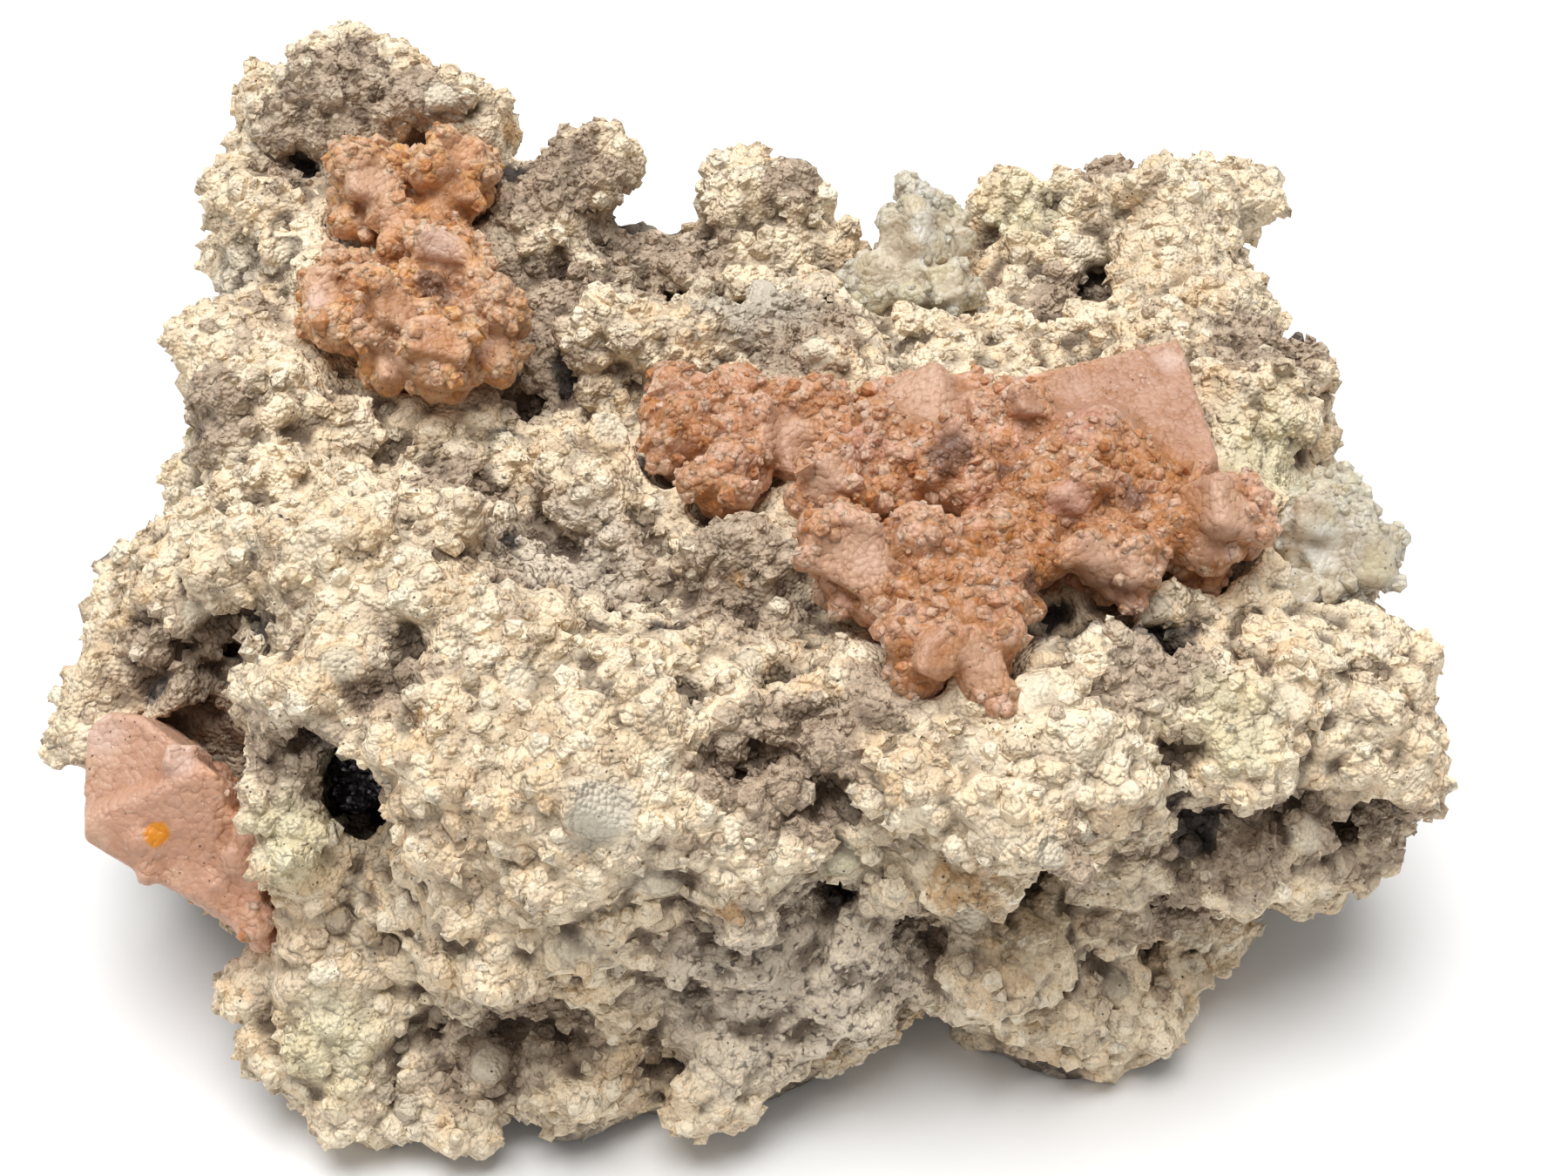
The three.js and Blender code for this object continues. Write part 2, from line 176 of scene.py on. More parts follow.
class Wire:
    """An output of a node. Arithmetic on it adds Math nodes."""

    def __init__(self, tree, socket):
        self.tree, self.socket = tree, socket

    def other(self, name):
        return Wire(self.tree, self.socket.node.outputs[name])

    def math(self, operation, *values):
        return self.tree.add("ShaderNodeMath", {"operation": operation}, values)

    def __add__(self, value):
        return self.math("ADD", self, value)

    def __radd__(self, value):
        return self.math("ADD", value, self)

    def __sub__(self, value):
        return self.math("SUBTRACT", self, value)

    def __rsub__(self, value):
        return self.math("SUBTRACT", value, self)

    def __mul__(self, value):
        return self.math("MULTIPLY", self, value)

    def __rmul__(self, value):
        return self.math("MULTIPLY", value, self)

    def __rtruediv__(self, value):
        return self.math("DIVIDE", value, self)

    def __pow__(self, value):
        return self.math("POWER", self, value)

    def least(self, value):
        return self.math("MAXIMUM", self, value)


class Finish(Tree):
    """A material whose patterns are worked out from the place on the object."""

    def __init__(self, name, **constants):
        self.material = bpy.data.materials.new(name)
        self.material.use_nodes = True
        tree = self.material.node_tree
        super().__init__(tree.nodes, tree.links)
        self.surface = tree.nodes["Principled BSDF"]
        for socket, value in constants.items():
            self.surface.inputs[socket.replace("_", " ")].default_value = value
        self.place = self.add("ShaderNodeTexCoord", out="Object")

    def layer(self, name):
        return self.add("ShaderNodeAttribute", {"attribute_name": name}, out="Fac")

    def noise(self, size, detail=3.0, roughness=0.55, shift=0.0):
        """Cloudy variation from 0 to 1, with patches of a given size."""
        values = {"Vector": self.shifted(shift), "Scale": 1 / size, "Detail": detail, "Roughness": roughness}
        return self.add("ShaderNodeTexNoise", {}, values)

    def shifted(self, shift):
        return self.add("ShaderNodeVectorMath", {"operation": "ADD"}, [self.place, (shift, shift, shift)])

    def cells(self, size, out="Distance", place=None):
        """Rounded cells side by side, of a given size."""
        values = {"Vector": place or self.place, "Scale": 1 / size}
        return self.add("ShaderNodeTexVoronoi", {"feature": "F1"}, values, out)

    def between(self, value, low, high):
        """0 below low, 1 above high and a smooth rise between."""
        values = {"Value": value, "From Min": low, "From Max": high}
        return self.add("ShaderNodeMapRange", {"interpolation_type": "SMOOTHSTEP"}, values)

    def mix(self, share, a, b):
        """Colour a, going over to colour b."""
        return self.add("ShaderNodeMix", {"data_type": "RGBA"}, {0: share, 6: a, 7: b}, out=2)

    def feed(self, **wires):
        for socket, wire in wires.items():
            self.links.new(wire.socket, self.surface.inputs[socket.replace("_", " ")])

    def bump(self, height, depth):
        return self.add("ShaderNodeBump", {}, {"Strength": 1.0, "Distance": depth, "Height": height})


class Growth(Tree):
    """Geometry Nodes that strew small bodies over a mesh and join them to it."""

    def __init__(self, name):
        self.group = bpy.data.node_groups.new(name, "GeometryNodeTree")
        super().__init__(self.group.nodes, self.group.links)
        self.group.interface.new_socket("Mesh", in_out="INPUT", socket_type="NodeSocketGeometry")
        self.group.interface.new_socket("Mesh", in_out="OUTPUT", socket_type="NodeSocketGeometry")
        self.kinds = {float: "NodeSocketFloat", int: "NodeSocketInt"}
        self.kinds[bpy.types.Material] = "NodeSocketMaterial"
        self.start = self.nodes.new("NodeGroupInput")

    def take(self, name, kind=float):
        """A named input of the tree."""
        self.group.interface.new_socket(name, in_out="INPUT", socket_type=self.kinds[kind])
        return Wire(self, self.start.outputs[name])

    def end(self, wire, finish):
        """Ends the tree in real mesh of one material."""
        real = self.add("GeometryNodeRealizeInstances", {}, {0: wire})
        dressed = self.add("GeometryNodeSetMaterial", {}, {"Geometry": real, "Material": finish})
        self.links.new(dressed.socket, self.nodes.new("NodeGroupOutput").inputs[0])

    def grow_on(self, thing, **inputs):
        """Runs the tree on an object, with values for its named inputs, and keeps the plain mesh."""
        modifier = thing.modifiers.new(self.group.name, "NODES")
        modifier.node_group = self.group
        for item in self.group.interface.items_tree:
            if item.in_out == "INPUT" and item.name in inputs:
                modifier[item.identifier] = inputs[item.name]
        return settle(thing)


CRUMB, GRIT = 1.15 * MM, 0.55 * MM


def bent(tree, place, size):
    """A place pushed a little aside, so that the grains laid out by it lie unevenly."""
    drift = {"Vector": place, "Scale": 0.6 / size, "Detail": 1.0}
    cloud = tree.add("ShaderNodeTexNoise", {"noise_dimensions": "3D"}, drift, out="Color")
    shift = tree.add("ShaderNodeVectorMath", {"operation": "SCALE"}, {0: cloud, "Scale": 0.5 * size})
    return tree.add("ShaderNodeVectorMath", {"operation": "ADD"}, [place, shift])


def crumbs(tree, place, size):
    """Rounded grains side by side: their height from 0 to 1, and the cells that they fill."""
    grain = tree.add("ShaderNodeTexVoronoi", {"feature": "F1"}, {"Vector": place, "Scale": 1 / size})
    height = (1 - grain * grain * 1.3).least(0.0) ** 0.5
    return height, grain


def crumb_growth(name, coarse, fine):
    """Pushes a mesh in between its grains, so that each stands out rounded, except on its smooth faces."""
    tree = Growth(name)
    mesh = Wire(tree, tree.start.outputs["Mesh"])
    depth, finish = tree.take("Depth"), tree.take("Finish", bpy.types.Material)
    place = tree.add("GeometryNodeInputPosition")
    large = crumbs(tree, bent(tree, place, coarse), coarse)[0]
    small = crumbs(tree, bent(tree, place, fine), fine)[0]
    smooth = tree.add("GeometryNodeInputNamedAttribute", {"data_type": "FLOAT"}, {"Name": "smooth"})
    height = ((large - 0.7) * 0.75 + (small - 0.7) * 0.25) * (1 - smooth * 0.85)
    push = {0: tree.add("GeometryNodeInputNormal"), "Scale": height * depth}
    offset = tree.add("ShaderNodeVectorMath", {"operation": "SCALE"}, push)
    above_foot = tree.add("ShaderNodeSeparateXYZ", {}, [place], out="Z").math("GREATER_THAN", FOOT_BAND)
    settled = {"Geometry": mesh, "Offset": offset, "Selection": above_foot}
    tree.end(tree.add("GeometryNodeSetPosition", {}, settled), finish)
    return tree


def grain_growth(name, faceted):
    """Small bodies strewn over a mesh and half sunk in it: rounded uneven lumps, or eight-faced crystals."""
    tree = Growth(name)
    mesh = Wire(tree, tree.start.outputs["Mesh"])
    spacing, smallest, largest = tree.take("Spacing"), tree.take("Smallest"), tree.take("Largest")
    sunk, ragged, flat = tree.take("Sunk"), tree.take("Ragged"), tree.take("Flat")
    seed, detail = tree.take("Seed", int), tree.take("Detail", int)
    finish = tree.take("Finish", bpy.types.Material)
    number, vector = {"data_type": "FLOAT"}, {"data_type": "FLOAT_VECTOR"}
    cover = tree.add("GeometryNodeInputNamedAttribute", number, {"Name": "cover"})
    coarse = tree.add("GeometryNodeInputNamedAttribute", number, {"Name": "coarse"})
    bare = tree.add("GeometryNodeInputNamedAttribute", number, {"Name": "bare"})
    scatter = {"Mesh": mesh, "Distance Min": spacing, "Density Max": 4 / (spacing * spacing)}
    scatter.update({"Density Factor": cover * (1 - bare), "Seed": seed})
    points = tree.add("GeometryNodeDistributePointsOnFaces", {"distribute_method": "POISSON"}, scatter)
    draw = tree.add("FunctionNodeRandomValue", number, {"Min": 0.0, "Max": 1.0, "Seed": seed + 1}, out=1)
    size = (smallest + (largest - smallest) * draw**1.7) * coarse
    inward = {0: points.other("Normal"), "Scale": 0 - size * sunk}
    down = tree.add("ShaderNodeVectorMath", {"operation": "SCALE"}, inward)
    seats = tree.add("GeometryNodeSetPosition", {}, {"Geometry": points, "Offset": down})
    if faceted:
        body = tree.add("GeometryNodeMeshUVSphere", {}, {"Segments": 4, "Rings": 2, "Radius": 1.0})
        body = tree.add("GeometryNodeSetShadeSmooth", {}, {"Geometry": body, "Shade Smooth": False})
        turns = {0: (0.35, -0.45, 0.1), 1: (0.95, 0.15, 0.7), "Seed": seed + 2}
    else:
        body = tree.add("GeometryNodeMeshIcoSphere", {}, {"Radius": 1.0, "Subdivisions": detail})
        turns = {0: (-0.5, -0.5, 0), 1: (0.5, 0.5, 6.28), "Seed": seed + 2}
    turn = tree.add("FunctionNodeRandomValue", vector, turns)
    stretches = {0: (0.75, 0.75, 0.75), 1: (1.3, 1.3, 1.3), "Seed": seed + 3}
    stretch = tree.add("FunctionNodeRandomValue", vector, stretches)
    level = tree.add("ShaderNodeCombineXYZ", {}, [1.0, 1.0, flat])
    lying = tree.add("ShaderNodeVectorMath", {"operation": "MULTIPLY"}, [stretch, level])
    scale = tree.add("ShaderNodeVectorMath", {"operation": "SCALE"}, {0: lying, "Scale": size})
    bodies = {"Points": seats, "Instance": body, "Rotation": turn, "Scale": scale}
    strewn = tree.add("GeometryNodeInstanceOnPoints", {}, bodies)
    own = tree.add("FunctionNodeRandomValue", number, {"Min": 0.05, "Max": 1.0, "Seed": seed + 4}, out=1)
    store = {"data_type": "FLOAT", "domain": "INSTANCE"}
    named = {"Geometry": strewn, "Name": "grain", "Value": own}
    strewn = tree.add("GeometryNodeStoreNamedAttribute", store, named)
    real = tree.add("GeometryNodeRealizeInstances", {}, {0: strewn})
    cloud = {"Vector": tree.add("GeometryNodeInputPosition"), "Scale": 1.1 / spacing, "Detail": 1.0}
    pattern = tree.add("ShaderNodeTexNoise", {"noise_dimensions": "3D"}, cloud, out="Color")
    middle = tree.add("ShaderNodeVectorMath", {"operation": "SUBTRACT"}, [pattern, (0.5, 0.5, 0.5)])
    push = tree.add("ShaderNodeVectorMath", {"operation": "SCALE"}, {0: middle, "Scale": ragged})
    rough = tree.add("GeometryNodeSetPosition", {}, {"Geometry": real, "Offset": push})
    join = tree.nodes.new("GeometryNodeJoinGeometry")
    tree.links.new(rough.socket, join.inputs[0])
    tree.links.new(mesh.socket, join.inputs[0])
    tree.end(Wire(tree, join.outputs[0]), finish)
    return tree


def rock_finish():
    """Dull cream crust over grey grains and near-black host rock, rusty in places, with painted shade in its
    pores.
    """
    cream = (0.94, 0.775, 0.55, 1)
    warm = (0.74, 0.52, 0.30, 1)
    ash = (0.30, 0.215, 0.155, 1)
    host = (0.042, 0.034, 0.031, 1)
    bright = (0.95, 0.85, 0.67, 1)
    white = (0.95, 0.87, 0.70, 1)
    tan = (0.50, 0.38, 0.26, 1)
    drab = (0.44, 0.34, 0.24, 1)
    silt = (0.52, 0.405, 0.30, 1)
    sandy = (0.84, 0.73, 0.58, 1)
    milk = (0.86, 0.77, 0.60, 1)
    dull = (0.66, 0.58, 0.44, 1)
    moss = (0.66, 0.64, 0.40, 1)
    pebble = (0.60, 0.55, 0.45, 1)
    ochre = (0.52, 0.27, 0.08, 1)
    umber = (0.20, 0.145, 0.105, 1)
    pore_shade = (0.095, 0.06, 0.038, 1)
    seam = (0.2, 0.14, 0.09, 1)
    sand_gap_shade = (0.09, 0.065, 0.05, 1)
    speckle = (0.05, 0.035, 0.03, 1)
    slate = (0.045, 0.038, 0.034, 1)
    fleck = (0.30, 0.245, 0.20, 1)
    rock = Finish("crusted_rock", Roughness=0.85, Specular_IOR_Level=0.25)
    crest, grain = rock.layer("crest"), rock.layer("grain")
    own = rock.between(grain, 0.0, 0.04)
    relief = rock.layer("relief") + own * 0.25
    rust, grey, dark_and_shade = rock.layer("rust"), rock.layer("grey"), rock.layer("dark_and_shade")
    green, pale = rock.layer("green"), rock.layer("pale")
    sand, smooth = rock.layer("sand"), rock.layer("smooth")
    broad = rock.noise(9 * MM, 2.0)
    mottle = rock.noise(2.6 * MM, 3.0, 0.6)
    fine = rock.noise(0.7 * MM, 2.0, 0.6)
    uneven_place = bent(rock, rock.place, CRUMB)
    crumb, rim = crumbs(rock, uneven_place, CRUMB)
    tone = rock.add("ShaderNodeSeparateColor", {}, [rim.other("Color")])
    grit = crumbs(rock, uneven_place, GRIT)[0]
    dust = 1 - rock.cells(0.33 * MM)
    colour = rock.mix(rock.between(broad + mottle * 0.6, 0.65, 1.15), cream, warm)
    colour = rock.mix(rock.between(tone, 0.25, 0.9) * 0.5, colour, bright)
    colour = rock.mix(rock.between(grain, 0.55, 1.0) * 0.6, colour, white)
    colour = rock.mix(own * rock.between(0.3 - grain, 0.0, 0.25) * 0.6, colour, tan)
    colour = rock.mix(rock.between(tone.other("Green"), 0.65, 1.0) * 0.45, colour, drab)
    speckled = (mottle - 0.5) * 1.2 + (tone.other("Blue") - 0.5) * 0.4 - crest * 0.3
    speckled = speckled - (grain - 0.5) * own * 0.4
    greyness = rock.between(grey + speckled - sand * 0.4, 0.15, 0.75)
    colour = rock.mix(greyness * 0.85, colour, rock.mix(rock.between(fine, 0.3, 0.7), ash, silt))
    colour = rock.mix(rock.between(sand + (mottle - 0.5), 0.0, 0.6) * 0.7, colour, sandy)
    plain = rock.between(smooth, 0.2, 0.7)
    clouded = rock.mix(rock.between(mottle, 0.3, 0.7), milk, dull)
    colour = rock.mix(plain * 0.7, colour, clouded)
    colour = rock.mix(rock.between(green + (mottle - 0.5) * 1.6, 0.1, 1.0) * 0.45, colour, moss)
    colour = rock.mix(rock.between(pale + (mottle - 0.5) * 1.4, 0.2, 0.9) * 0.7, colour, pebble)
    rusty = rock.between(rust + (fine - 0.5) * 1.1 + (mottle - 0.5) * 1.4, 0.4, 1.0)
    colour = rock.mix(rusty * 0.7, colour, ochre)
    # Painted shade: darker umber in the broad hollows of the block, where the crest is low.
    colour = rock.mix(rock.between(0 - crest, 0.0, 0.9) * 0.55, colour, umber)
    # Painted shade: near-black brown in the pores and small hollows, where the relief is low.
    colour = rock.mix(rock.between(0 - relief, -0.15, 0.6) * 0.9, colour, pore_shade)
    # Painted shade in the gaps between the rounded grains, except on smooth crystals.
    colour = rock.mix(rock.between(rim, 0.6, 0.95) * (1 - plain) * 0.4, colour, seam)
    # Painted shade: near-black in the gaps between the fine grains of the sandy zone.
    between_sand = rock.between(sand + (mottle - 0.5), 0.2, 0.6) * rock.between(1 - grit, 0.25, 0.7)
    colour = rock.mix(between_sand * 0.75, colour, sand_gap_shade)
    broken = rock.between(rock.layer("host") * 1.3 + (mottle - 0.5) * 1.2 - crest * 0.4, 0.3, 0.9)
    flecks = rock.between(fine + (tone - 0.5) * 0.5, 0.2, 0.8)
    stone = rock.mix(flecks, slate, fleck)
    colour = rock.mix(broken * 0.9, colour, stone)
    # Near-black at the listed places, more in hollows: partly host rock, partly painted shade in pits and
    # recesses.
    deep = rock.between(dark_and_shade * 0.9 + (mottle - 0.5) * 1.1 - crest * 0.5 - relief * 0.4, 0.45, 1.0)
    colour = rock.mix(deep * 0.95, colour, host)
    chance = rock.between(rock.noise(3.1 * MM, 2.0, shift=3.0), 0.3, 0.7)
    specks = rock.between(0.15 * chance - rock.cells(0.75 * MM), 0.0, 0.02)
    colour = rock.mix(specks * 0.85, colour, speckle)
    rock.feed(Base_Color=colour)
    rock.feed(Roughness=rock.between(fine, 0.1, 0.9) * 0.25 + 0.65 - plain * 0.3)
    rough = (crumb + grit * 0.55) * (1 - plain * 0.9) + dust * 0.5
    rock.feed(Normal=rock.bump(rough, 0.45 * MM))
    return rock.material


rock_material = rock_finish()
crystal_groups = {
    name: merged_copy(name, name + "_form")
    for name in (
        "fluorite_centre",
        "fluorite_back_left",
        "fluorite_left_edge",
        "colourless_crystals_back",
        "colourless_crystals_right",
        "black_seam",
    )
}


def tree_of(things):
    """All the faces of some objects, for finding distances to them."""
    corners, faces = [], []
    for thing in things:
        first = len(corners)
        corners += [v.co for v in thing.data.vertices]
        faces += [[first + i for i in p.vertices] for p in thing.data.polygons]
    return BVHTree.FromPolygons(corners, faces)


crystals = tree_of(crystal_groups.values())

# Where the rock differs from plain cream crust: each place in the camera's frame, and its reach in mm.
GREY = {
    "top corner": (390, 95, 8),
    "top corner left": (330, 165, 6),
    "top corner right": (490, 110, 6),
    "great ledge side": (1240, 1000, 5),
    "beside the back fluorite": (640, 200, 8),
    "notch": (700, 260, 7),
    "between the fluorites": (650, 350, 9),
    "below the back fluorite": (610, 420, 9),
    "middle hollow": (770, 290, 7),
    "shoulder": (530, 560, 6),
    "left shoulder": (240, 470, 6),
    "behind the ridge": (640, 650, 11),
    "back middle": (915, 200, 4),
    "behind the centre": (900, 370, 8),
    "back right": (1290, 190, 6),
    "back right hollow": (1230, 340, 6),
    "right edge": (1470, 400, 7),
    "above the tail": (850, 640, 8),
    "under the lobe": (1020, 790, 4),
    "pit below": (900, 880, 8),
    "lower sand": (880, 1130, 13),
    "sand to the right": (1020, 1080, 8),
    "right recess": (1560, 930, 9),
    "right middle": (1330, 760, 5),
    "under the left ridge": (240, 780, 9),
    "left pocket": (350, 870, 6),
    "pocket": (450, 790, 5),
    "front foot": (590, 1180, 8),
    "bottom right": (1340, 1040, 5),
    "beyond the great ledge": (1420, 960, 7),
}
# Near-black in pits, recesses and under ledges: partly host rock showing, partly painted shade.
DARK_AND_SHADE = {
    "left shoulder": (150, 565, 2.5),
    "beside the back fluorite": (585, 200, 4),
    "left of the back fluorite": (350, 190, 3),
    "between the fluorites": (655, 430, 4),
    "below the back fluorite": (580, 500, 2.5),
    "notch": (735, 190, 2.5),
    "black pit": (412, 912, 4),
    "recess": (1360, 930, 5),
    "behind the ridge": (590, 622, 2),
    "under the ridge": (290, 730, 3),
    "beside the tail": (1200, 700, 2.5),
    "beyond the tail": (1345, 740, 3.5),
    "pit below": (965, 1025, 2),
}
GREEN = {
    "low left knob": (340, 965, 6),
    "right shelf": (1460, 530, 9),
    "left edge": (220, 500, 5),
    "right ledge": (1420, 830, 6),
    "small knob": (965, 985, 3),
    "low left foot": (370, 1200, 6),
    "back right": (1180, 240, 6),
}
PALE = {
    "left edge": (270, 320, 6),
    "hollow": (870, 340, 8),
    "beside the lobe": (970, 600, 5),
    "front window": (690, 935, 5),
    "below the tail": (1020, 660, 5),
}
RUST = {
    "under the tail": (1210, 665, 3),
    "great ledge": (1100, 1020, 5),
    "bead": (848, 660, 1.6),
    "left front": (480, 830, 2),
    "streak": (835, 1050, 2),
    "top right of the back fluorite": (590, 150, 3),
}
SAND = {
    "lower sand": (900, 1130, 12),
    "sand to the right": (1010, 1180, 8),
    "behind the ridge": (640, 650, 7),
}
PITS = {
    "under the left ridge": (245, 775, 4.5),
    "left pocket": (330, 850, 3),
    "right of the back fluorite": (640, 300, 3),
    "below the back fluorite": (600, 470, 3),
    "notch": (720, 250, 3),
    "left of the back fluorite": (340, 190, 2.5),
    "foot": (760, 1235, 3),
    "right foot": (1320, 1090, 3),
    "right edge": (1540, 950, 3),
    "middle": (860, 880, 2.5),
    "black pit": (412, 912, 3.5),
    "recess top": (1365, 870, 3.0),
    "recess": (1352, 930, 3.0),
    "recess bottom": (1385, 985, 3.0),
    "behind the ridge": (590, 622, 2.5),
    "under the ridge": (285, 735, 3.5),
    "beside the tail": (1205, 705, 2.2),
    "beyond the tail": (1345, 740, 3.0),
    "pit below": (965, 1025, 2.5),
    "left hollow": (385, 580, 2.0),
    "pocket": (462, 745, 2.5),
    "front pocket": (790, 800, 2.5),
    "hollow behind": (780, 340, 2.5),
    "right hollow": (1260, 330, 3),
}


def seen_patches(thing, patches):
    """For each point of a mesh, how near it is to patches seen from the camera, from 0 to 1."""
    skin, where = tree_of([thing]), places(thing.data) / MM
    total = np.zeros(len(where))
    for across, down, reach in patches.values():
        centre = skin.ray_cast(camera.location, sight_line(across, down))[0]
        if centre:
            total = np.maximum(total, closeness(where, centre / MM, reach))
    return total


def broken_side(thing):
    """How much of the host rock shows at each point: on the broken back and underneath, but not high up."""
    where = places(thing.data) / MM
    facing = neighbour_mean(thing.data, facings(thing.data), 25)
    facing /= np.linalg.norm(facing, axis=1)[:, None] + 1e-6
    away = np.maximum(facing[:, 1] * 2.4 - 1, -facing[:, 2] * 2.4 - 1)
    drift = np.array([noise.noise(Vector(p) / 8) + 0.5 * noise.noise(Vector(p) / 3) for p in where])
    share = np.clip(away + drift * 2.2, 0, 1) * np.clip(away * 2 + 1.2, 0, 1)
    return share * np.clip((32 + drift * 14 - where[:, 2]) / 4, 0, 1)


def fill_pores(thing, share):
    """Raises the bottoms of pores towards the surface about them, by a share for each point."""
    where = places(thing.data)
    rise = neighbour_mean(thing.data, where, 22) - where
    hollow_point = (rise * facings(thing.data)).sum(axis=1) > 0
    move_to(thing.data, where + rise * (hollow_point * share)[:, None])


def fracture(thing):
    """Breaks the bare host rock into ridges and steps."""
    where = places(thing.data)
    above = np.clip((where[:, 2] / MM - 1.5) / 2, 0, 1)
    depth = broken_side(thing) * above
    steps = np.array([
        abs(noise.noise(p / 6)) * 2.4 + abs(noise.noise(p / 2.6)) * 1.3 + abs(noise.noise(p / 1.1)) * 0.6
        for p in (Vector(spot) for spot in where / MM)
    ])
    move_to(thing.data, where - facings(thing.data) * (depth * steps)[:, None] * MM)


def prepare(thing, clear):
    """Paints where grains may grow, and how big: small by the crystals, none in the pits or on the foot.

    Nothing grows closer to the crystals than a clear distance, in mm.
    """
    where, far = places(thing.data) / MM, 6 * MM
    away = np.array([crystals.find_nearest(v.co, far)[3] or far for v in thing.data.vertices]) / MM
    low = np.clip((where[:, 2] - 1.0) / 1.2, 0, 1)
    open_pit = seen_patches(thing, PITS) > 0.3
    smooth = np.clip(seen_patches(thing, SMOOTH) * 2.5, 0, 1)
    crusted = np.clip(1 - 1.2 * broken_side(thing), 0, 1)
    paint(thing.data, "cover", (away > clear) * low * crusted * (1 - open_pit * (clear > 0.5)) * (1 - smooth))
    paint(thing.data, "coarse", (1 - 0.5 * seen_patches(thing, SAND)) * np.clip(away / 3.5, 0.4, 1))


def stand(thing):
    """Flattens what would reach below the table."""
    where = places(thing.data)
    where[:, 2] = np.maximum(where[:, 2], 0)
    move_to(thing.data, where)


def hollow(thing, patches, depth):
    """Pushes a mesh in, at patches seen from the camera."""
    where = places(thing.data)
    move_to(thing.data, where - facings(thing.data) * (seen_patches(thing, patches) * depth)[:, None])


def nugget(thing, centre, radii, turn, seed):
    """Adds a blocky crystal with rounded edges: its centre, half sizes in mm and turn in degrees."""
    chance = random.Random(seed)
    sides = [Vector(side) for side in ((1, 0, 0), (-1, 0, 0), (0, 1, 0), (0, -1, 0), (0, 0, 1), (0, 0, -1))]
    sides += [Vector(chance.choice((-1, 1)) for _ in range(3)).normalized() for _ in range(4)]
    sides = [(side + Vector(chance.uniform(-0.2, 0.2) for _ in range(3))).normalized() for side in sides]
    reaches = [chance.uniform(0.75, 1.0) for _ in sides]
    form = bmesh.new()
    form.from_mesh(thing.data)
    turned = Euler([math.radians(angle) for angle in turn]).to_matrix()
    new = bmesh.ops.create_icosphere(form, subdivisions=4, radius=1.0)
    for vertex in new["verts"]:
        ahead = vertex.co.normalized()
        reach = sum(max(0, ahead.dot(side) / far) ** 12 for side, far in zip(sides, reaches)) ** (-1 / 12)
        blocky = Vector([c * reach * r for c, r in zip(ahead, radii)])
        vertex.co = (Vector(centre) + turned @ blocky) * MM
    form.to_mesh(thing.data)
    form.free()


def set_nuggets(thing, nuggets):
    """Sets blocky crystals on a mesh, and returns the place and reach of each that found a seat.

    They are given by place in the camera's frame, half length and width in mm, and turn in degrees.
    """
    skin, seated = tree_of([thing]), {}
    for name, (across, down, length, width, turn) in nuggets.items():
        seat = skin.ray_cast(camera.location, sight_line(across, down))[0]
        if seat:
            nugget(thing, seat / MM, (length, width, min(length, width)), (35, 20, turn), name)
            seated[name] = (across, down, max(length, width))
    return seated


# Where the crust is full, with few pores in it: each place in the camera's frame, and its reach in mm.
FULL = {
    "front left": (560, 900, 10),
    "front": (700, 930, 8),
    "front low": (560, 1010, 6),
    "left plateau": (400, 660, 8),
    "ridge": (330, 620, 6),
    "middle plateau": (560, 700, 6),
    "great ledge": (1100, 1000, 7),
    "great ledge top": (1200, 850, 8),
    "right ledge": (1430, 830, 7),
    "right shelf": (1450, 560, 9),
    "back right": (1370, 260, 8),
    "left knob": (345, 970, 5),
    "left foot": (400, 1150, 6),
    "back middle": (890, 350, 7),
    "back left": (300, 400, 7),
}

# Larger smooth crystals in the crust: place in the camera's frame, half length and width in mm, and turn.
CRUST_CRYSTALS = {
    "pearl": (1250, 290, 2.4, 1.3, 10),
    "window": (690, 935, 2.8, 2.0, 20),
    "knob": (965, 985, 1.9, 1.5, 0),
    "front plate": (760, 1010, 1.9, 1.2, 30),
    "white plate": (700, 492, 1.7, 1.0, 10),
    "grey plate": (860, 330, 2.6, 1.9, 15),
    "grey block": (940, 400, 2.0, 1.5, 40),
    "brown block": (505, 110, 2.2, 2.0, 20),
    "ledge plate": (1120, 1050, 2.2, 1.4, 60),
    "ledge block": (1210, 980, 1.5, 1.2, 30),
    "right block": (1500, 960, 2.0, 1.4, 20),
    "right low": (1370, 1070, 1.8, 1.3, 50),
    "right foot": (1280, 1130, 1.7, 1.2, 10),
    "front foot": (560, 1220, 2.0, 1.3, 70),
    "left white": (390, 760, 1.9, 1.5, 0),
    "front block": (600, 780, 1.5, 1.1, 30),
    "low block": (660, 1090, 1.8, 1.2, 10),
    "left block": (225, 700, 1.7, 1.3, 60),
    "back block": (330, 290, 1.9, 1.6, 15),
    "middle block": (860, 760, 1.7, 1.3, 45),
    "beside the tail": (1330, 700, 1.6, 1.2, 30),
    "shelf block": (1190, 790, 2.0, 1.4, 25),
    "right ledge block": (1480, 800, 1.8, 1.2, 80),
    "grey tail": (1000, 640, 2.6, 1.7, 10),
}
SMOOTH = {name: (place[0], place[1], max(place[2:4]) * 1.1) for name, place in CRUST_CRYSTALS.items()}

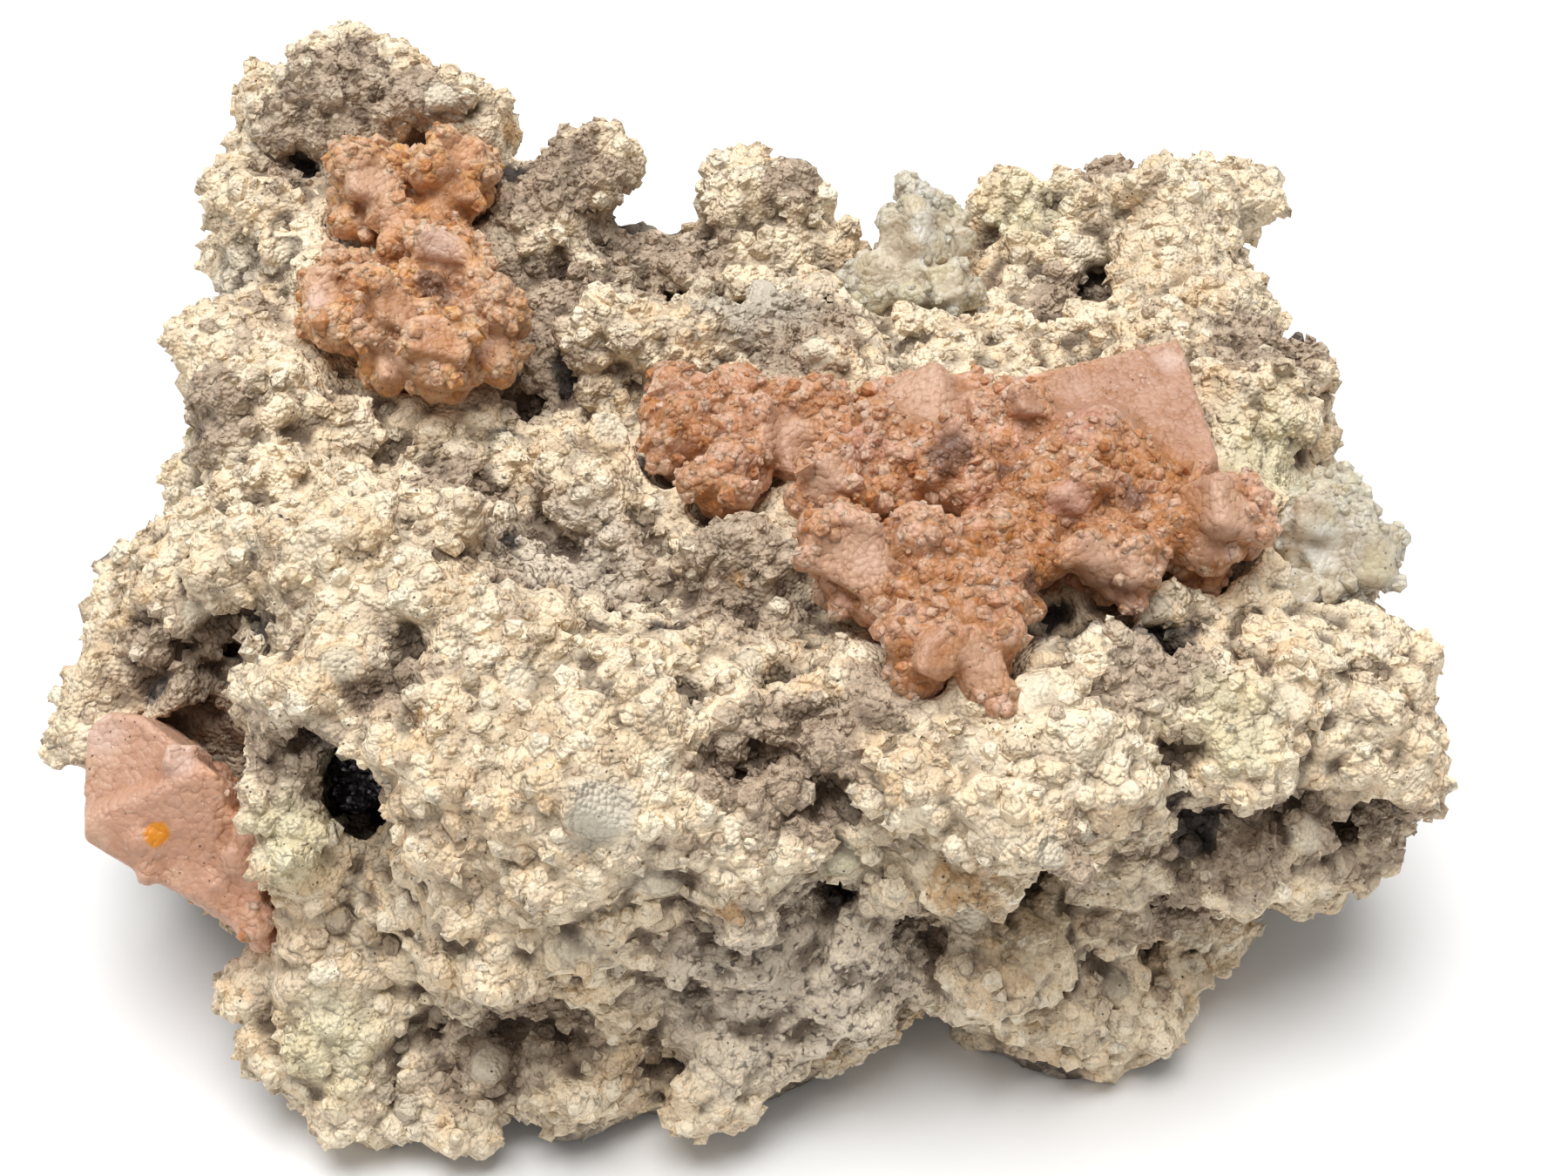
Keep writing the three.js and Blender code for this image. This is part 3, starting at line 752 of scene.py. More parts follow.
block = fuse(merged_copy("matrix", "block"), BASE_VOXEL)
full = np.maximum(seen_patches(block, FULL), broken_side(block))
inset = (1.0 - 0.75 * full) * (places(block.data)[:, 2] > 1 * MM)
move_to(block.data, places(block.data) - facings(block.data) * inset[:, None] * MM)
prepare(block, clear=0.8)
lumps = grain_growth("lumps", False)
lumps.grow_on(
    block,
    Spacing=3.0 * MM, Smallest=1.2 * MM, Largest=3.4 * MM, Sunk=0.35, Ragged=2.2 * MM, Flat=0.85, Seed=3,
    Detail=2, Finish=rock_material
)
fuse(block, BASE_VOXEL * 0.6)
hollow(block, PITS, depth=2.8 * MM)
set_nuggets(block, CRUST_CRYSTALS)
prepare(block, clear=0.25)
lumps.grow_on(
    block,
    Spacing=1.4 * MM, Smallest=0.5 * MM, Largest=1.6 * MM, Sunk=0.15, Ragged=0.9 * MM, Flat=0.95, Seed=9,
    Detail=2, Finish=rock_material
)
fuse(block, CRUST_VOXEL)
outside_pits = 1 - np.clip(seen_patches(block, PITS) * 3, 0, 1)
fill_pores(block, (0.25 + 0.6 * seen_patches(block, FULL)) * outside_pits)
fracture(block)
paint(block.data, "smooth", seen_patches(block, SMOOTH) ** 0.5)
crumb_growth("rock_crumbs", CRUMB, GRIT).grow_on(block, Depth=0.55 * MM, Finish=rock_material)
prepare(block, clear=0.15)

ROCK_LAYERS = (
    "cover", "coarse", "smooth", "relief", "crest", "rust", "grey", "dark_and_shade", "host", "green", "pale", "sand"
)


def split_across(thing, count, name):
    """Cuts a closed mesh into closed slabs side by side along X, with about as many faces in each."""
    mesh = thing.data
    corners = np.empty(len(mesh.loops), np.int32)
    mesh.loops.foreach_get("vertex_index", corners)
    faces = corners.reshape(-1, 4)
    where = places(mesh)
    face_x = where[faces][:, :, 0]
    beyond = 1.0  # m, well past both sides
    cuts = np.quantile(face_x[:, 0], np.linspace(0, 1, count + 1))
    cuts[0], cuts[-1] = -beyond, beyond
    slabs = []
    for k, (low, high) in enumerate(zip(cuts, cuts[1:])):
        near = (face_x.max(axis=1) >= low) & (face_x.min(axis=1) <= high)
        used, index = np.unique(faces[near], return_inverse=True)
        part = bpy.data.meshes.new(name)
        part.from_pydata(where[used].tolist(), [], index.reshape(-1, 4).tolist())
        for layer in ROCK_LAYERS:
            values = np.empty(len(mesh.vertices), np.float32)
            if layer in mesh.attributes:
                mesh.attributes[layer].data.foreach_get("value", values)
                paint(part, layer, values[used])
        form = bmesh.new()
        form.from_mesh(part)
        bare = form.faces.layers.float.new("bare")
        for edge, side in ((low, -1), (high, 1)):
            if abs(edge) == beyond:
                continue
            everything = form.verts[:] + form.edges[:] + form.faces[:]
            plane = {"plane_co": (edge, 0, 0), "plane_no": (side, 0, 0)}
            cut = bmesh.ops.bisect_plane(form, geom=everything, dist=1e-9, clear_outer=True, **plane)
            rim = [g for g in cut["geom_cut"] if isinstance(g, bmesh.types.BMEdge)]
            for face in form.faces:
                face.smooth = True
            cap = bmesh.ops.triangle_fill(form, use_beauty=True, edges=rim, normal=(side, 0, 0))
            for item in cap["geom"]:
                if isinstance(item, bmesh.types.BMFace):
                    item.smooth = False
                    item[bare] = 1
            for line in rim:
                line.smooth = False
        bmesh.ops.recalc_face_normals(form, faces=form.faces)
        form.to_mesh(part)
        form.free()
        part.materials.append(rock_material)
        slab = bpy.data.objects.new(f"{name}_{k + 1}", part)
        bpy.context.scene.collection.objects.link(slab)
        slabs.append(slab)
    return slabs


def height_over(mesh, rounds):
    """How far each point of a mesh stands above the smoothed surface about it, in mm."""
    where = places(mesh)
    return ((where - neighbour_mean(mesh, where, rounds)) * facings(mesh)).sum(axis=1) / MM


# How far each point stands out from the surface about it, near and broad; the rock's finish paints shade
# where it sinks in.
relief = np.clip(height_over(block.data, 5) / 0.5 + height_over(block.data, 22) / 1.6, -1, 1)
paint(block.data, "relief", relief * (1 - 0.55 * seen_patches(block, FULL)))
paint(block.data, "crest", np.clip(height_over(block.data, 60) / 2.0, -1, 1))
for layer, patches in (("rust", RUST), ("green", GREEN), ("pale", PALE), ("sand", SAND), ("smooth", SMOOTH)):
    paint(block.data, layer, seen_patches(block, patches))
where = places(block.data) / MM
drift = np.array([noise.noise(Vector(p) / 7) + 0.5 * noise.noise(Vector(p) / 2.5) for p in where])
paint(block.data, "grey", np.clip(seen_patches(block, GREY) * 1.35 + drift * 0.6, 0, 1))
paint(block.data, "host", broken_side(block))
paint(block.data, "dark_and_shade", seen_patches(block, DARK_AND_SHADE))


def layer_of(mesh, name):
    values = np.empty(len(mesh.vertices), np.float32)
    mesh.attributes[name].data.foreach_get("value", values)
    return values


crystal_grains = grain_growth("crystal_grains", True)
for number, slab in enumerate(split_across(block, SLABS, "matrix_slab")):
    free = layer_of(slab.data, "cover")
    paint(slab.data, "cover", free * (0.8 + 0.2 * layer_of(slab.data, "grey")))
    lumps.grow_on(
        slab, Spacing=1.4 * MM, Smallest=0.4 * MM, Largest=1.1 * MM, Sunk=0.2, Ragged=0.5 * MM, Flat=1.0,
        Seed=20 + number, Detail=1, Finish=rock_material
    )
    paint(slab.data, "cover", layer_of(slab.data, "cover") * (0.35 + 0.65 * layer_of(slab.data, "grey")))
    crystal_grains.grow_on(
        slab, Spacing=0.85 * MM, Smallest=0.25 * MM, Largest=0.65 * MM, Sunk=0.1, Ragged=0.4 * MM, Flat=1.0,
        Seed=40 + number, Finish=rock_material
    )
    stand(slab)
    slab.data.materials.clear()
    slab.data.materials.append(rock_material)
    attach(slab, "root")
    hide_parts("matrix")
bpy.data.objects.remove(block)

# ---- Fluorite in the centre ----
# The main mass of orange-pink fluorite, cloudy and frosted: a band of fine crystals on the left, a block with
# a straight edge, one great crystal with a smooth corner, a small one beside it and a lobe below. It has
# grown on the block in one piece.
WORN_VOXEL = 0.4 * MM
FLUORITE_VOXEL = 0.32 * MM


def hull(thing, corners):
    """Adds a closed flat-faced crystal to a mesh, spanning its corners, which are given in mm."""
    form = bmesh.new()
    for corner in corners:
        form.verts.new(Vector(corner) * MM)
    bmesh.ops.convex_hull(form, input=form.verts)
    loose = [v for v in form.verts if not v.link_faces]
    bmesh.ops.delete(form, geom=loose, context="VERTS")
    bmesh.ops.recalc_face_normals(form, faces=form.faces)
    form.from_mesh(thing.data)
    form.to_mesh(thing.data)
    form.free()


SUGAR, DUST = 0.85 * MM, 0.42 * MM


def fluorite_finish(name, deep, light, face):
    """Cloudy pink to orange crystal with a frosted skin, which lets some light in."""
    amber = (0.56, 0.22, 0.05, 1)
    rose = (0.62, 0.31, 0.235, 1)
    peach = (0.90, 0.61, 0.43, 1)
    rust = (0.64, 0.29, 0.12, 1)
    shell = (0.94, 0.68, 0.53, 1)
    copper = (0.62, 0.25, 0.08, 1)
    sand = (0.78, 0.51, 0.34, 1)
    blush = (0.88, 0.66, 0.56, 1)
    raised_highlight = (0.93, 0.66, 0.50, 1)
    cloud = (0.88, 0.62, 0.48, 1)
    veil = (0.50, 0.24, 0.13, 1)
    hollow_shade = (0.40, 0.165, 0.06, 1)
    seam = (0.54, 0.24, 0.10, 1)
    umber = (0.20, 0.09, 0.05, 1)
    saffron = (0.85, 0.33, 0.02, 1)
    dirt = (0.10, 0.05, 0.03, 1)
    frost_and_sparkle = (1.0, 0.88, 0.74, 1)
    stone = Finish(name, IOR=1.434, Transmission_Weight=0.25, Subsurface_Weight=0.5)
    stone.surface.inputs["Subsurface Scale"].default_value = 0.5 * MM
    stone.surface.inputs["Subsurface Radius"].default_value = (1.0, 0.8, 0.65)
    stone.surface.inputs["Sheen Weight"].default_value = 0.12
    stone.surface.inputs["Sheen Roughness"].default_value = 0.35
    stone.surface.inputs["Sheen Tint"].default_value = (1.0, 0.80, 0.66, 1)
    relief, smooth, grain = stone.layer("relief"), stone.layer("smooth"), stone.layer("grain")
    orange, mauve, pale = stone.layer("orange"), stone.layer("mauve"), stone.layer("pale")
    brown, lilac, spot = stone.layer("brown"), stone.layer("lilac"), stone.layer("spot")
    mottle = stone.noise(2.4 * MM, 3.0, 0.65)
    fine = stone.noise(0.5 * MM, 2.0, 0.6)
    uneven = (mottle - 0.5) * 1.6 + (fine - 0.5) * 0.5
    uneven_place = bent(stone, stone.place, SUGAR)
    sugar, rim = crumbs(stone, uneven_place, SUGAR)
    tone = stone.add("ShaderNodeSeparateColor", {}, [rim.other("Color")])
    dust, edge = crumbs(stone, uneven_place, DUST)
    crystal = stone.between(grain, 0.0, 0.05)
    drift = stone.noise(4.5 * MM, 3.0, 0.6, shift=1.0)
    colour = stone.mix(stone.between(drift + (tone.other("Blue") - 0.5) * 0.3, 0.38, 0.62), deep, light)
    colour = stone.mix(stone.between(smooth, 0.0, 0.6) * 0.8, colour, face)
    colour = stone.mix(stone.between(orange + uneven, 0.1, 0.8) * 0.8, colour, amber)
    colour = stone.mix(stone.between(mauve + uneven * 0.8, 0.2, 0.8) * 0.75, colour, rose)
    colour = stone.mix(stone.between(tone, 0.4, 1.0) * (1 - smooth) * 0.5, colour, peach)
    colour = stone.mix(stone.between(tone.other("Green"), 0.6, 1.0) * (1 - smooth) * 0.45, colour, rust)
    colour = stone.mix(crystal * stone.between(grain, 0.3, 1.0) * 0.6, colour, shell)
    colour = stone.mix(crystal * stone.between(0.35 - grain, 0.0, 0.3) * 0.7, colour, copper)
    colour = stone.mix(stone.between(pale + uneven, 0.15, 0.85) * 0.6, colour, sand)
    colour = stone.mix(stone.between(lilac + uneven * 0.5, 0.0, 1.0) * 0.75, colour, blush)
    # Lighter on raised points and edges: a painted highlight, with some pale frosted edge.
    colour = stone.mix(stone.between(relief, 0.1, 0.8) * (1 - crystal) * 0.2, colour, raised_highlight)
    clouded = stone.between(mottle + (fine - 0.5) * 0.4, 0.35, 0.65) * smooth
    colour = stone.mix(clouded * 0.3, colour, cloud)
    colour = stone.mix(stone.between(tone, 0.5, 1.0) * smooth * 0.25, colour, veil)
    # Painted shade: deep brown in the hollows, less on smooth faces and grown crystals.
    shaded_hollows = stone.between(0 - relief, 0.0, 0.6) * (1 - smooth * 0.8) * (1 - crystal * 0.5)
    colour = stone.mix(shaded_hollows * 0.85, colour, hollow_shade)
    # Painted shade in the gaps between the small grains, less on smooth faces.
    grain_gap_shade = stone.between(rim, 0.5, 0.9) * 0.5 + stone.between(edge, 0.55, 0.9) * 0.3
    colour = stone.mix(grain_gap_shade * (1 - smooth * 0.85), colour, seam)
    # Painted shade: umber at the clefts, hollows and undersides listed as brown patches.
    colour = stone.mix(stone.between(brown + uneven * 0.8, 0.3, 0.8) * 0.85, colour, umber)
    colour = stone.mix(stone.between(spot + uneven * 0.6, 0.3, 0.6), colour, saffron)
    chance = stone.between(stone.noise(3.1 * MM, 2.0, shift=3.0), 0.3, 0.7)
    speck = stone.between(0.16 * chance - stone.cells(0.62 * MM), 0.0, 0.03)
    colour = stone.mix(speck * 0.8, colour, dirt)
    # Tiny pale specks: frosted grains, partly a painted sparkle of light.
    frosted = stone.between(0.2 * chance - stone.cells(0.55 * MM, place=stone.shifted(7.0)), 0.0, 0.03)
    colour = stone.mix(frosted * 0.4, colour, frost_and_sparkle)
    stone.feed(Base_Color=colour)
    stone.feed(Roughness=0.3 + fine * 0.25)
    rough = (sugar + dust * 0.6) * (1 - smooth * 0.7) + fine * 0.4 + dust * 0.25
    stone.feed(Normal=stone.bump(rough, 0.24 * MM))
    return stone.material


PATCHES = ("pale", "mauve", "orange", "brown", "lilac", "spot")


def worn(node, rounds):
    """A copy of a node's crystals, fused and worn round."""
    mass = crystal_groups[node]
    fuse(mass, WORN_VOXEL)
    move_to(mass.data, neighbour_mean(mass.data, places(mass.data), rounds))
    return mass


sugar_growth = crumb_growth("sugar", SUGAR, DUST)


def crystal_mass(node, slot, finish, nuggets, plain, seed, grains=(0.95, 0.25, 0.75), **patches):
    """Sets rounded crystals on a node's worn ones and grows small ones over all but the plain faces.

    The plain faces and the patches of colour are given by place in the camera's frame and reach in mm, and
    the grains by spacing and sizes in mm.
    """
    mass = crystal_groups[node]
    mass.name = node + "_crystals"
    seated = set_nuggets(mass, nuggets).items()
    plain = {**plain, **{name: (across, down, reach * 1.05) for name, (across, down, reach) in seated}}
    paint(mass.data, "cover", (seen_patches(mass, plain) < 0.1).astype(float))
    paint(mass.data, "coarse", np.ones(len(mass.data.vertices)))
    lumps.grow_on(
        mass,
        Spacing=1.6 * MM, Smallest=0.7 * MM, Largest=1.7 * MM, Sunk=0.4, Ragged=0.7 * MM, Flat=1.0, Seed=seed,
        Detail=2, Finish=finish
    )
    fuse(mass, FLUORITE_VOXEL)
    paint(mass.data, "smooth", seen_patches(mass, plain) ** 0.5 * 0.8)
    sugar_growth.grow_on(mass, Depth=0.4 * MM, Finish=finish)
    # How far each point stands out; the finishes paint shade in hollows, and the fluorite's also highlight on
    # raised points.
    relief = height_over(mass.data, 5) / 0.3 + height_over(mass.data, 20) / 0.8
    paint(mass.data, "relief", np.clip(relief, -1, 1))
    mass.data.polygons.foreach_set("use_smooth", [True] * len(mass.data.polygons))
    exposed = facings(mass.data)[:, 2] > -0.3
    plainness = seen_patches(mass, plain)
    paint(mass.data, "cover", exposed * np.clip(1 - plainness * 2.2, 0, 1))
    paint(mass.data, "coarse", np.ones(len(mass.data.vertices)))
    spacing, smallest, largest = grains
    lumps.grow_on(
        mass, Spacing=spacing * MM, Smallest=smallest * MM, Largest=largest * MM, Sunk=0.25, Ragged=0.25 * MM,
        Flat=1.0, Seed=seed + 5, Detail=1, Finish=finish
    )
    crystal_grains.grow_on(
        mass, Spacing=spacing * 2.2 * MM, Smallest=smallest * MM, Largest=largest * 1.3 * MM, Sunk=0.25,
        Ragged=0.1 * MM, Flat=1.0, Seed=seed + 7, Finish=finish
    )
    for layer in PATCHES:
        paint(mass.data, layer, seen_patches(mass, patches.get(layer, {})))
    paint(mass.data, "smooth", seen_patches(mass, plain))
    stand(mass)
    mass.data.materials.clear()
    mass.data.materials.append(finish)
    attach(mass, "root")
    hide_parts(node)


fluorite_material = fluorite_finish(
    "orange_fluorite", deep=(0.66, 0.29, 0.11, 1), light=(0.84, 0.49, 0.34, 1), face=(0.51, 0.275, 0.175, 1)
)
centre = worn("fluorite_centre", 9)
GREAT_CRYSTAL = {
    "apex": (30.6, 3.6, 35.6),
    "left end": (15.4, -0.6, 34.2),
    "right foot": (32.0, -7.2, 33.6),
    "front": (24.0, -16.0, 31.5),
    "under the apex": (29, 6, 28),
    "under the left end": (16, 2, 28),
    "under the right foot": (33, -8, 28),
    "under the front": (22, -15, 27),
    "left front": (17.5, -11.5, 31.5),
}
hull(centre, GREAT_CRYSTAL.values())
nugget(centre, centre=(12.6, -0.4, 30.8), radii=(4.3, 3.8, 4.0), turn=(10, 15, 20), seed=5)
crystal_mass(
    "fluorite_centre", "fluorite", fluorite_material,
    nuggets={
        "mauve lump": (1228, 573, 2.3, 1.6, 10),
        "yellow bead": (1012, 597, 1.1, 0.9, 60),
        "white bead": (1112, 697, 0.6, 0.9, 0),
        "low left": (1078, 745, 1.7, 2.3, -15),
        "low right": (1122, 760, 1.6, 2.4, 25),
        "pale lump": (950, 550, 2.0, 1.7, 20),
        "scallop left": (1255, 640, 2.1, 1.3, -10),
        "scallop right": (1300, 655, 1.5, 1.6, 30),
        "scallop foot": (1290, 680, 1.1, 0.9, 0),
        "small crystal": (1405, 592, 2.9, 2.4, 20),
        "small foot": (1385, 625, 1.8, 1.4, 0),
        "low plate": (985, 640, 3.0, 2.2, -30),
        "purple corner": (1092, 500, 1.0, 1.4, 30),
        "block edge": (908, 510, 1.2, 2.6, 5),
        "top left": (1180, 462, 2.0, 1.4, 20),
        "band end": (765, 560, 1.2, 1.5, 20),
        "band low": (800, 575, 1.3, 1.1, 50),
        "band top": (770, 450, 1.2, 1.4, 0),
    },
    plain={
        "great face": (1325, 445, 7),
        "great left": (1240, 455, 4.5),
        "great side": (1375, 500, 4.5),
        "great foot": (1385, 550, 3),
        "apex": (1340, 418, 4),
        "dome": (1065, 445, 4.6),
        "block face": (905, 490, 2.5),
    },
    seed=4,
    pale={
        "dome": (1060, 455, 4.5),
        "small": (1410, 585, 4),
        "block": (905, 500, 3.5),
        "lump": (945, 545, 2.5),
        "low left": (985, 635, 5),
        "scallop": (1280, 645, 4),
        "lobe": (1130, 770, 3),
    },
    mauve={"lump": (1225, 575, 2.8), "block": (990, 510, 4), "great": (1250, 480, 4)},
    orange={
        "middle": (1160, 640, 6),
        "band": (800, 560, 4),
        "band top": (770, 480, 3),
        "right": (1330, 540, 6),
        "low": (1080, 680, 5),
        "under the face": (1240, 555, 8),
        "under": (1190, 660, 6),
        "face side": (1330, 590, 6),
        "foot": (1095, 770, 4),
    },
    # Painted shade in the cleft, under the lobe and in the hollows.
    brown={
        "cleft": (1090, 520, 3),
        "under": (1180, 670, 2.5),
        "hollow": (1300, 575, 2),
        "face foot": (1150, 540, 1.6),
    },
    lilac={"apex": (1345, 415, 2)},
)

# ---- Fluorite at the back left ----
# A cluster of rounded crystals below a rougher block, grown on the top of the block at the back left. It is
# more orange than the rest, with thin lilac edges.
worn("fluorite_back_left", 9)
crystal_mass(
    "fluorite_back_left", "fluorite",
    fluorite_finish(
        "peach_fluorite", deep=(0.94, 0.46, 0.14, 1), light=(0.96, 0.60, 0.37, 1), face=(0.80, 0.47, 0.27, 1)
    ),
    nuggets={
        "orange lobe": (500, 392, 2.6, 2.1, 5),
        "lilac lobe": (510, 285, 2.8, 1.5, 5),
        "right lobe": (578, 318, 2.2, 2.4, 15),
        "left lobe": (372, 340, 1.5, 2.2, 20),
        "top left": (425, 208, 2.6, 2.4, 10),
        "top right": (512, 222, 2.6, 2.3, 30),
        "upper": (525, 178, 2.2, 1.4, 10),
        "white tip": (493, 434, 0.7, 0.9, 0),
        "left": (400, 285, 2.6, 2.3, 25),
        "low left": (450, 418, 1.9, 2.2, 15),
        "low right": (562, 395, 2.3, 1.6, -30),
        "upper left": (450, 250, 2.0, 1.5, 0),
        "middle": (450, 350, 1.7, 2.2, 30),
    },
    plain={},
    seed=6,
    pale={
        "left": (395, 300, 6),
        "top left": (425, 205, 6),
        "middle": (540, 350, 6),
        "low": (450, 400, 5),
        "right lobe": (585, 330, 4),
        "tip": (495, 435, 1.5),
    },
    orange={
        "lobe": (500, 395, 3.0),
        "top right": (520, 225, 6),
        "middle": (465, 290, 4),
        "left": (430, 360, 4),
    },
    # Painted shade in the crevice.
    brown={"crevice": (500, 330, 3)},
    lilac={"lobe": (505, 278, 3.0), "right": (592, 310, 2.5), "left": (365, 345, 2)},
)

# ---- Fluorite at the left edge ----
# One large pink crystal with two smooth faces and a straight lower edge. It has grown under the ridge on the
# left and hangs out from the block.
EDGE_CRYSTAL = "fluorite_left_edge"
UPPER_FACE = {
    "top left": (100, 835),
    "top": (125, 816),
    "top right": (160, 820),
    "right shoulder": (212, 860),
    "right": (208, 900),
    "right of the bend": (205, 955),
    "left of the bend": (112, 962),
    "left": (95, 915),
}
LOWER_FACE = {
    "left": (112, 974),
    "left of the bend": (108, 955),
    "right of the bend": (205, 925),
    "right corner": (285, 935),
    "right edge": (300, 1000),
    "tail": (300, 1076),
}
SIDES = {
    "left": ((97, 1000), (97, 800)),
    "lower edge": ((300, 1080), (100, 968)),
    "upper edge": ((150, 812), (215, 862)),
}


def trim(thing, start, end):
    """Flattens what reaches past a straight edge that runs between two places in the camera's frame."""
    side = sight_line(*end).cross(sight_line(*start)).normalized()
    where = places(thing.data)
    past = np.maximum((where - np.array(camera.location)) @ np.array(side), 0)
    move_to(thing.data, where - past[:, None] * np.array(side))


def plate(thing, middle, slope, thick, outline):
    """Adds a flat crystal: its outline in the camera's frame, how its face slopes and its thickness in mm."""
    slope = Vector(slope).normalized()
    seat = tree_of([thing]).ray_cast(camera.location, sight_line(*middle))[0]
    corners = []
    for place in outline:
        ahead = sight_line(*place)
        corner = camera.location + ahead * ((seat - camera.location).dot(slope) / ahead.dot(slope))
        corners += [corner / MM, corner / MM - slope * thick]
    hull(thing, corners)


edge = worn(EDGE_CRYSTAL, 2)
for start, end in SIDES.values():
    trim(edge, start, end)
plate(edge, middle=(150, 900), slope=(-0.15, -0.6, 0.8), thick=5, outline=UPPER_FACE.values())
plate(edge, middle=(210, 990), slope=(0.05, -0.75, 0.65), thick=4, outline=LOWER_FACE.values())
crystal_mass(
    EDGE_CRYSTAL, "fluorite",
    fluorite_finish(
        "pink_fluorite", deep=(0.82, 0.42, 0.26, 1), light=(0.88, 0.52, 0.36, 1), face=(0.62, 0.345, 0.225, 1)
    ),
    nuggets={"step": (97, 958, 1.5, 1.0, 10), "right corner": (205, 872, 1.2, 1.0, 20)},
    plain={
        "upper face": (150, 880, 8),
        "edge": (125, 850, 7),
        "lower face": (220, 1000, 6),
        "left": (110, 950, 7),
        "middle": (175, 940, 7),
    },
    seed=8,
    grains=(1.5, 0.25, 0.6),
    pale={"highlight": (120, 865, 3), "streak": (205, 1003, 1.5), "left": (100, 960, 2.5)},
    spot={"spot": (180, 957, 1.5)},
    mauve={"top": (118, 818, 1.5)},
    lilac={"top": (115, 840, 2.5), "corner": (205, 870, 2)},
)

# ---- Colourless crystals ----
# Cloudy grey-white crystals under a thin sugary skin: a few flat-faced ones at the back rim and a large
# rounded group at the right edge, both grown on the block.


def colourless_finish():
    """Cloudy colourless crystal under a thin sugary skin, see-through at its thin edges."""
    beige = (0.74, 0.62, 0.45, 1)
    milk = (0.93, 0.84, 0.67, 1)
    sugared = (0.93, 0.86, 0.70, 1)
    straw = (0.80, 0.72, 0.44, 1)
    blush = (0.90, 0.72, 0.58, 1)
    white = (0.90, 0.87, 0.79, 1)
    cream = (0.95, 0.86, 0.68, 1)
    hollow_shade = (0.40, 0.29, 0.16, 1)
    seam = (0.46, 0.36, 0.22, 1)
    dirt = (0.06, 0.04, 0.03, 1)
    glass = Finish("cloudy_crystal", IOR=1.45, Transmission_Weight=0.3, Subsurface_Weight=0.5)
    glass.surface.inputs["Subsurface Scale"].default_value = 0.8 * MM
    glass.surface.inputs["Subsurface Radius"].default_value = (1.0, 0.9, 0.75)
    smooth, pale, grain = glass.layer("smooth"), glass.layer("pale"), glass.layer("grain")
    relief = glass.layer("relief")
    mottle, fine = glass.noise(2.2 * MM, 3.0, 0.65), glass.noise(0.5 * MM, 2.0, 0.6)
    drift = glass.noise(4.5 * MM, 3.0, 0.6, shift=2.0)
    uneven_place = bent(glass, glass.place, SUGAR)
    sugar, rim = crumbs(glass, uneven_place, SUGAR)
    tone = glass.add("ShaderNodeSeparateColor", {}, [rim.other("Color")])
    dust = crumbs(glass, uneven_place, DUST)[0]
    colour = glass.mix(glass.between(mottle, 0.35, 0.65), beige, milk)
    colour = glass.mix(glass.between(tone, 0.4, 1.0) * (1 - smooth) * 0.5, colour, sugared)
    colour = glass.mix(glass.between(drift, 0.52, 0.66) * 0.5, colour, straw)
    colour = glass.mix(glass.between(0.5 - drift, 0.02, 0.14) * 0.4, colour, blush)
    colour = glass.mix(glass.between(pale + (mottle - 0.5), 0.2, 0.8) * 0.7, colour, white)
    colour = glass.mix(glass.between(grain, 0.3, 1.0) * 0.6, colour, cream)
    # Painted shade: deep brown in the hollows.
    colour = glass.mix(glass.between(0 - relief, 0.0, 0.7) * 0.6, colour, hollow_shade)
    # Painted shade in the gaps between the sugary grains, less on smooth faces.
    colour = glass.mix(glass.between(rim, 0.55, 0.9) * (1 - smooth * 0.7) * 0.4, colour, seam)
    chance = glass.between(glass.noise(3.1 * MM, 2.0, shift=3.0), 0.3, 0.7)
    speck = glass.between(0.16 * chance - glass.cells(0.75 * MM), 0.0, 0.03)
    colour = glass.mix(speck * 0.7, colour, dirt)
    glass.feed(Base_Color=colour)
    glass.feed(Roughness=0.25 + fine * 0.25)
    rough = (sugar + dust * 0.6) * (1 - smooth * 0.75) + fine * 0.4 + dust * 0.25
    glass.feed(Normal=glass.bump(rough, 0.24 * MM))
    return glass.material


colourless_material = colourless_finish()
back = worn("colourless_crystals_back", 4)
BACK_PLATES = {
    "tip": {
        "middle": (1070, 250),
        "slope": (0.2, -0.75, 0.6),
        "thick": 4,
        "outline": [(1058, 206), (1090, 226), (1106, 250), (1098, 284), (1062, 290), (1042, 250)],
    },
    "left": {
        "middle": (1030, 290),
        "slope": (-0.35, -0.7, 0.6),
        "thick": 4,
        "outline": [(1010, 240), (1045, 232), (1064, 288), (1050, 345), (1004, 338)],
    },
    "low right": {
        "middle": (1088, 322),
        "slope": (0.2, -0.6, 0.75),
        "thick": 3,
        "outline": [(1066, 306), (1102, 298), (1108, 338), (1076, 348)],
    },
}
for sizes in BACK_PLATES.values():
    plate(back, **sizes)
crystal_mass(
    "colourless_crystals_back", "colourless_crystal", colourless_material,
    nuggets={
        "right": (1104, 280, 1.3, 1.0, 20),
        "low": (1040, 350, 1.3, 1.0, 30),
        "left": (1003, 262, 1.0, 1.4, 0),
    },
    plain={"tip": (1070, 240, 3.2), "left face": (1030, 290, 4), "low right": (1088, 322, 2.6)},
    seed=12,
    grains=(1.2, 0.3, 0.8),
    pale={"tip": (1060, 225, 2.5), "middle": (1065, 260, 2.5)},
)
right = worn("colourless_crystals_right", 8)
RIGHT_PLATE = [(1495, 628), (1545, 608), (1566, 622), (1560, 648), (1512, 655)]
plate(right, middle=(1525, 635), slope=(0.1, -0.5, 0.85), thick=3, outline=RIGHT_PLATE)
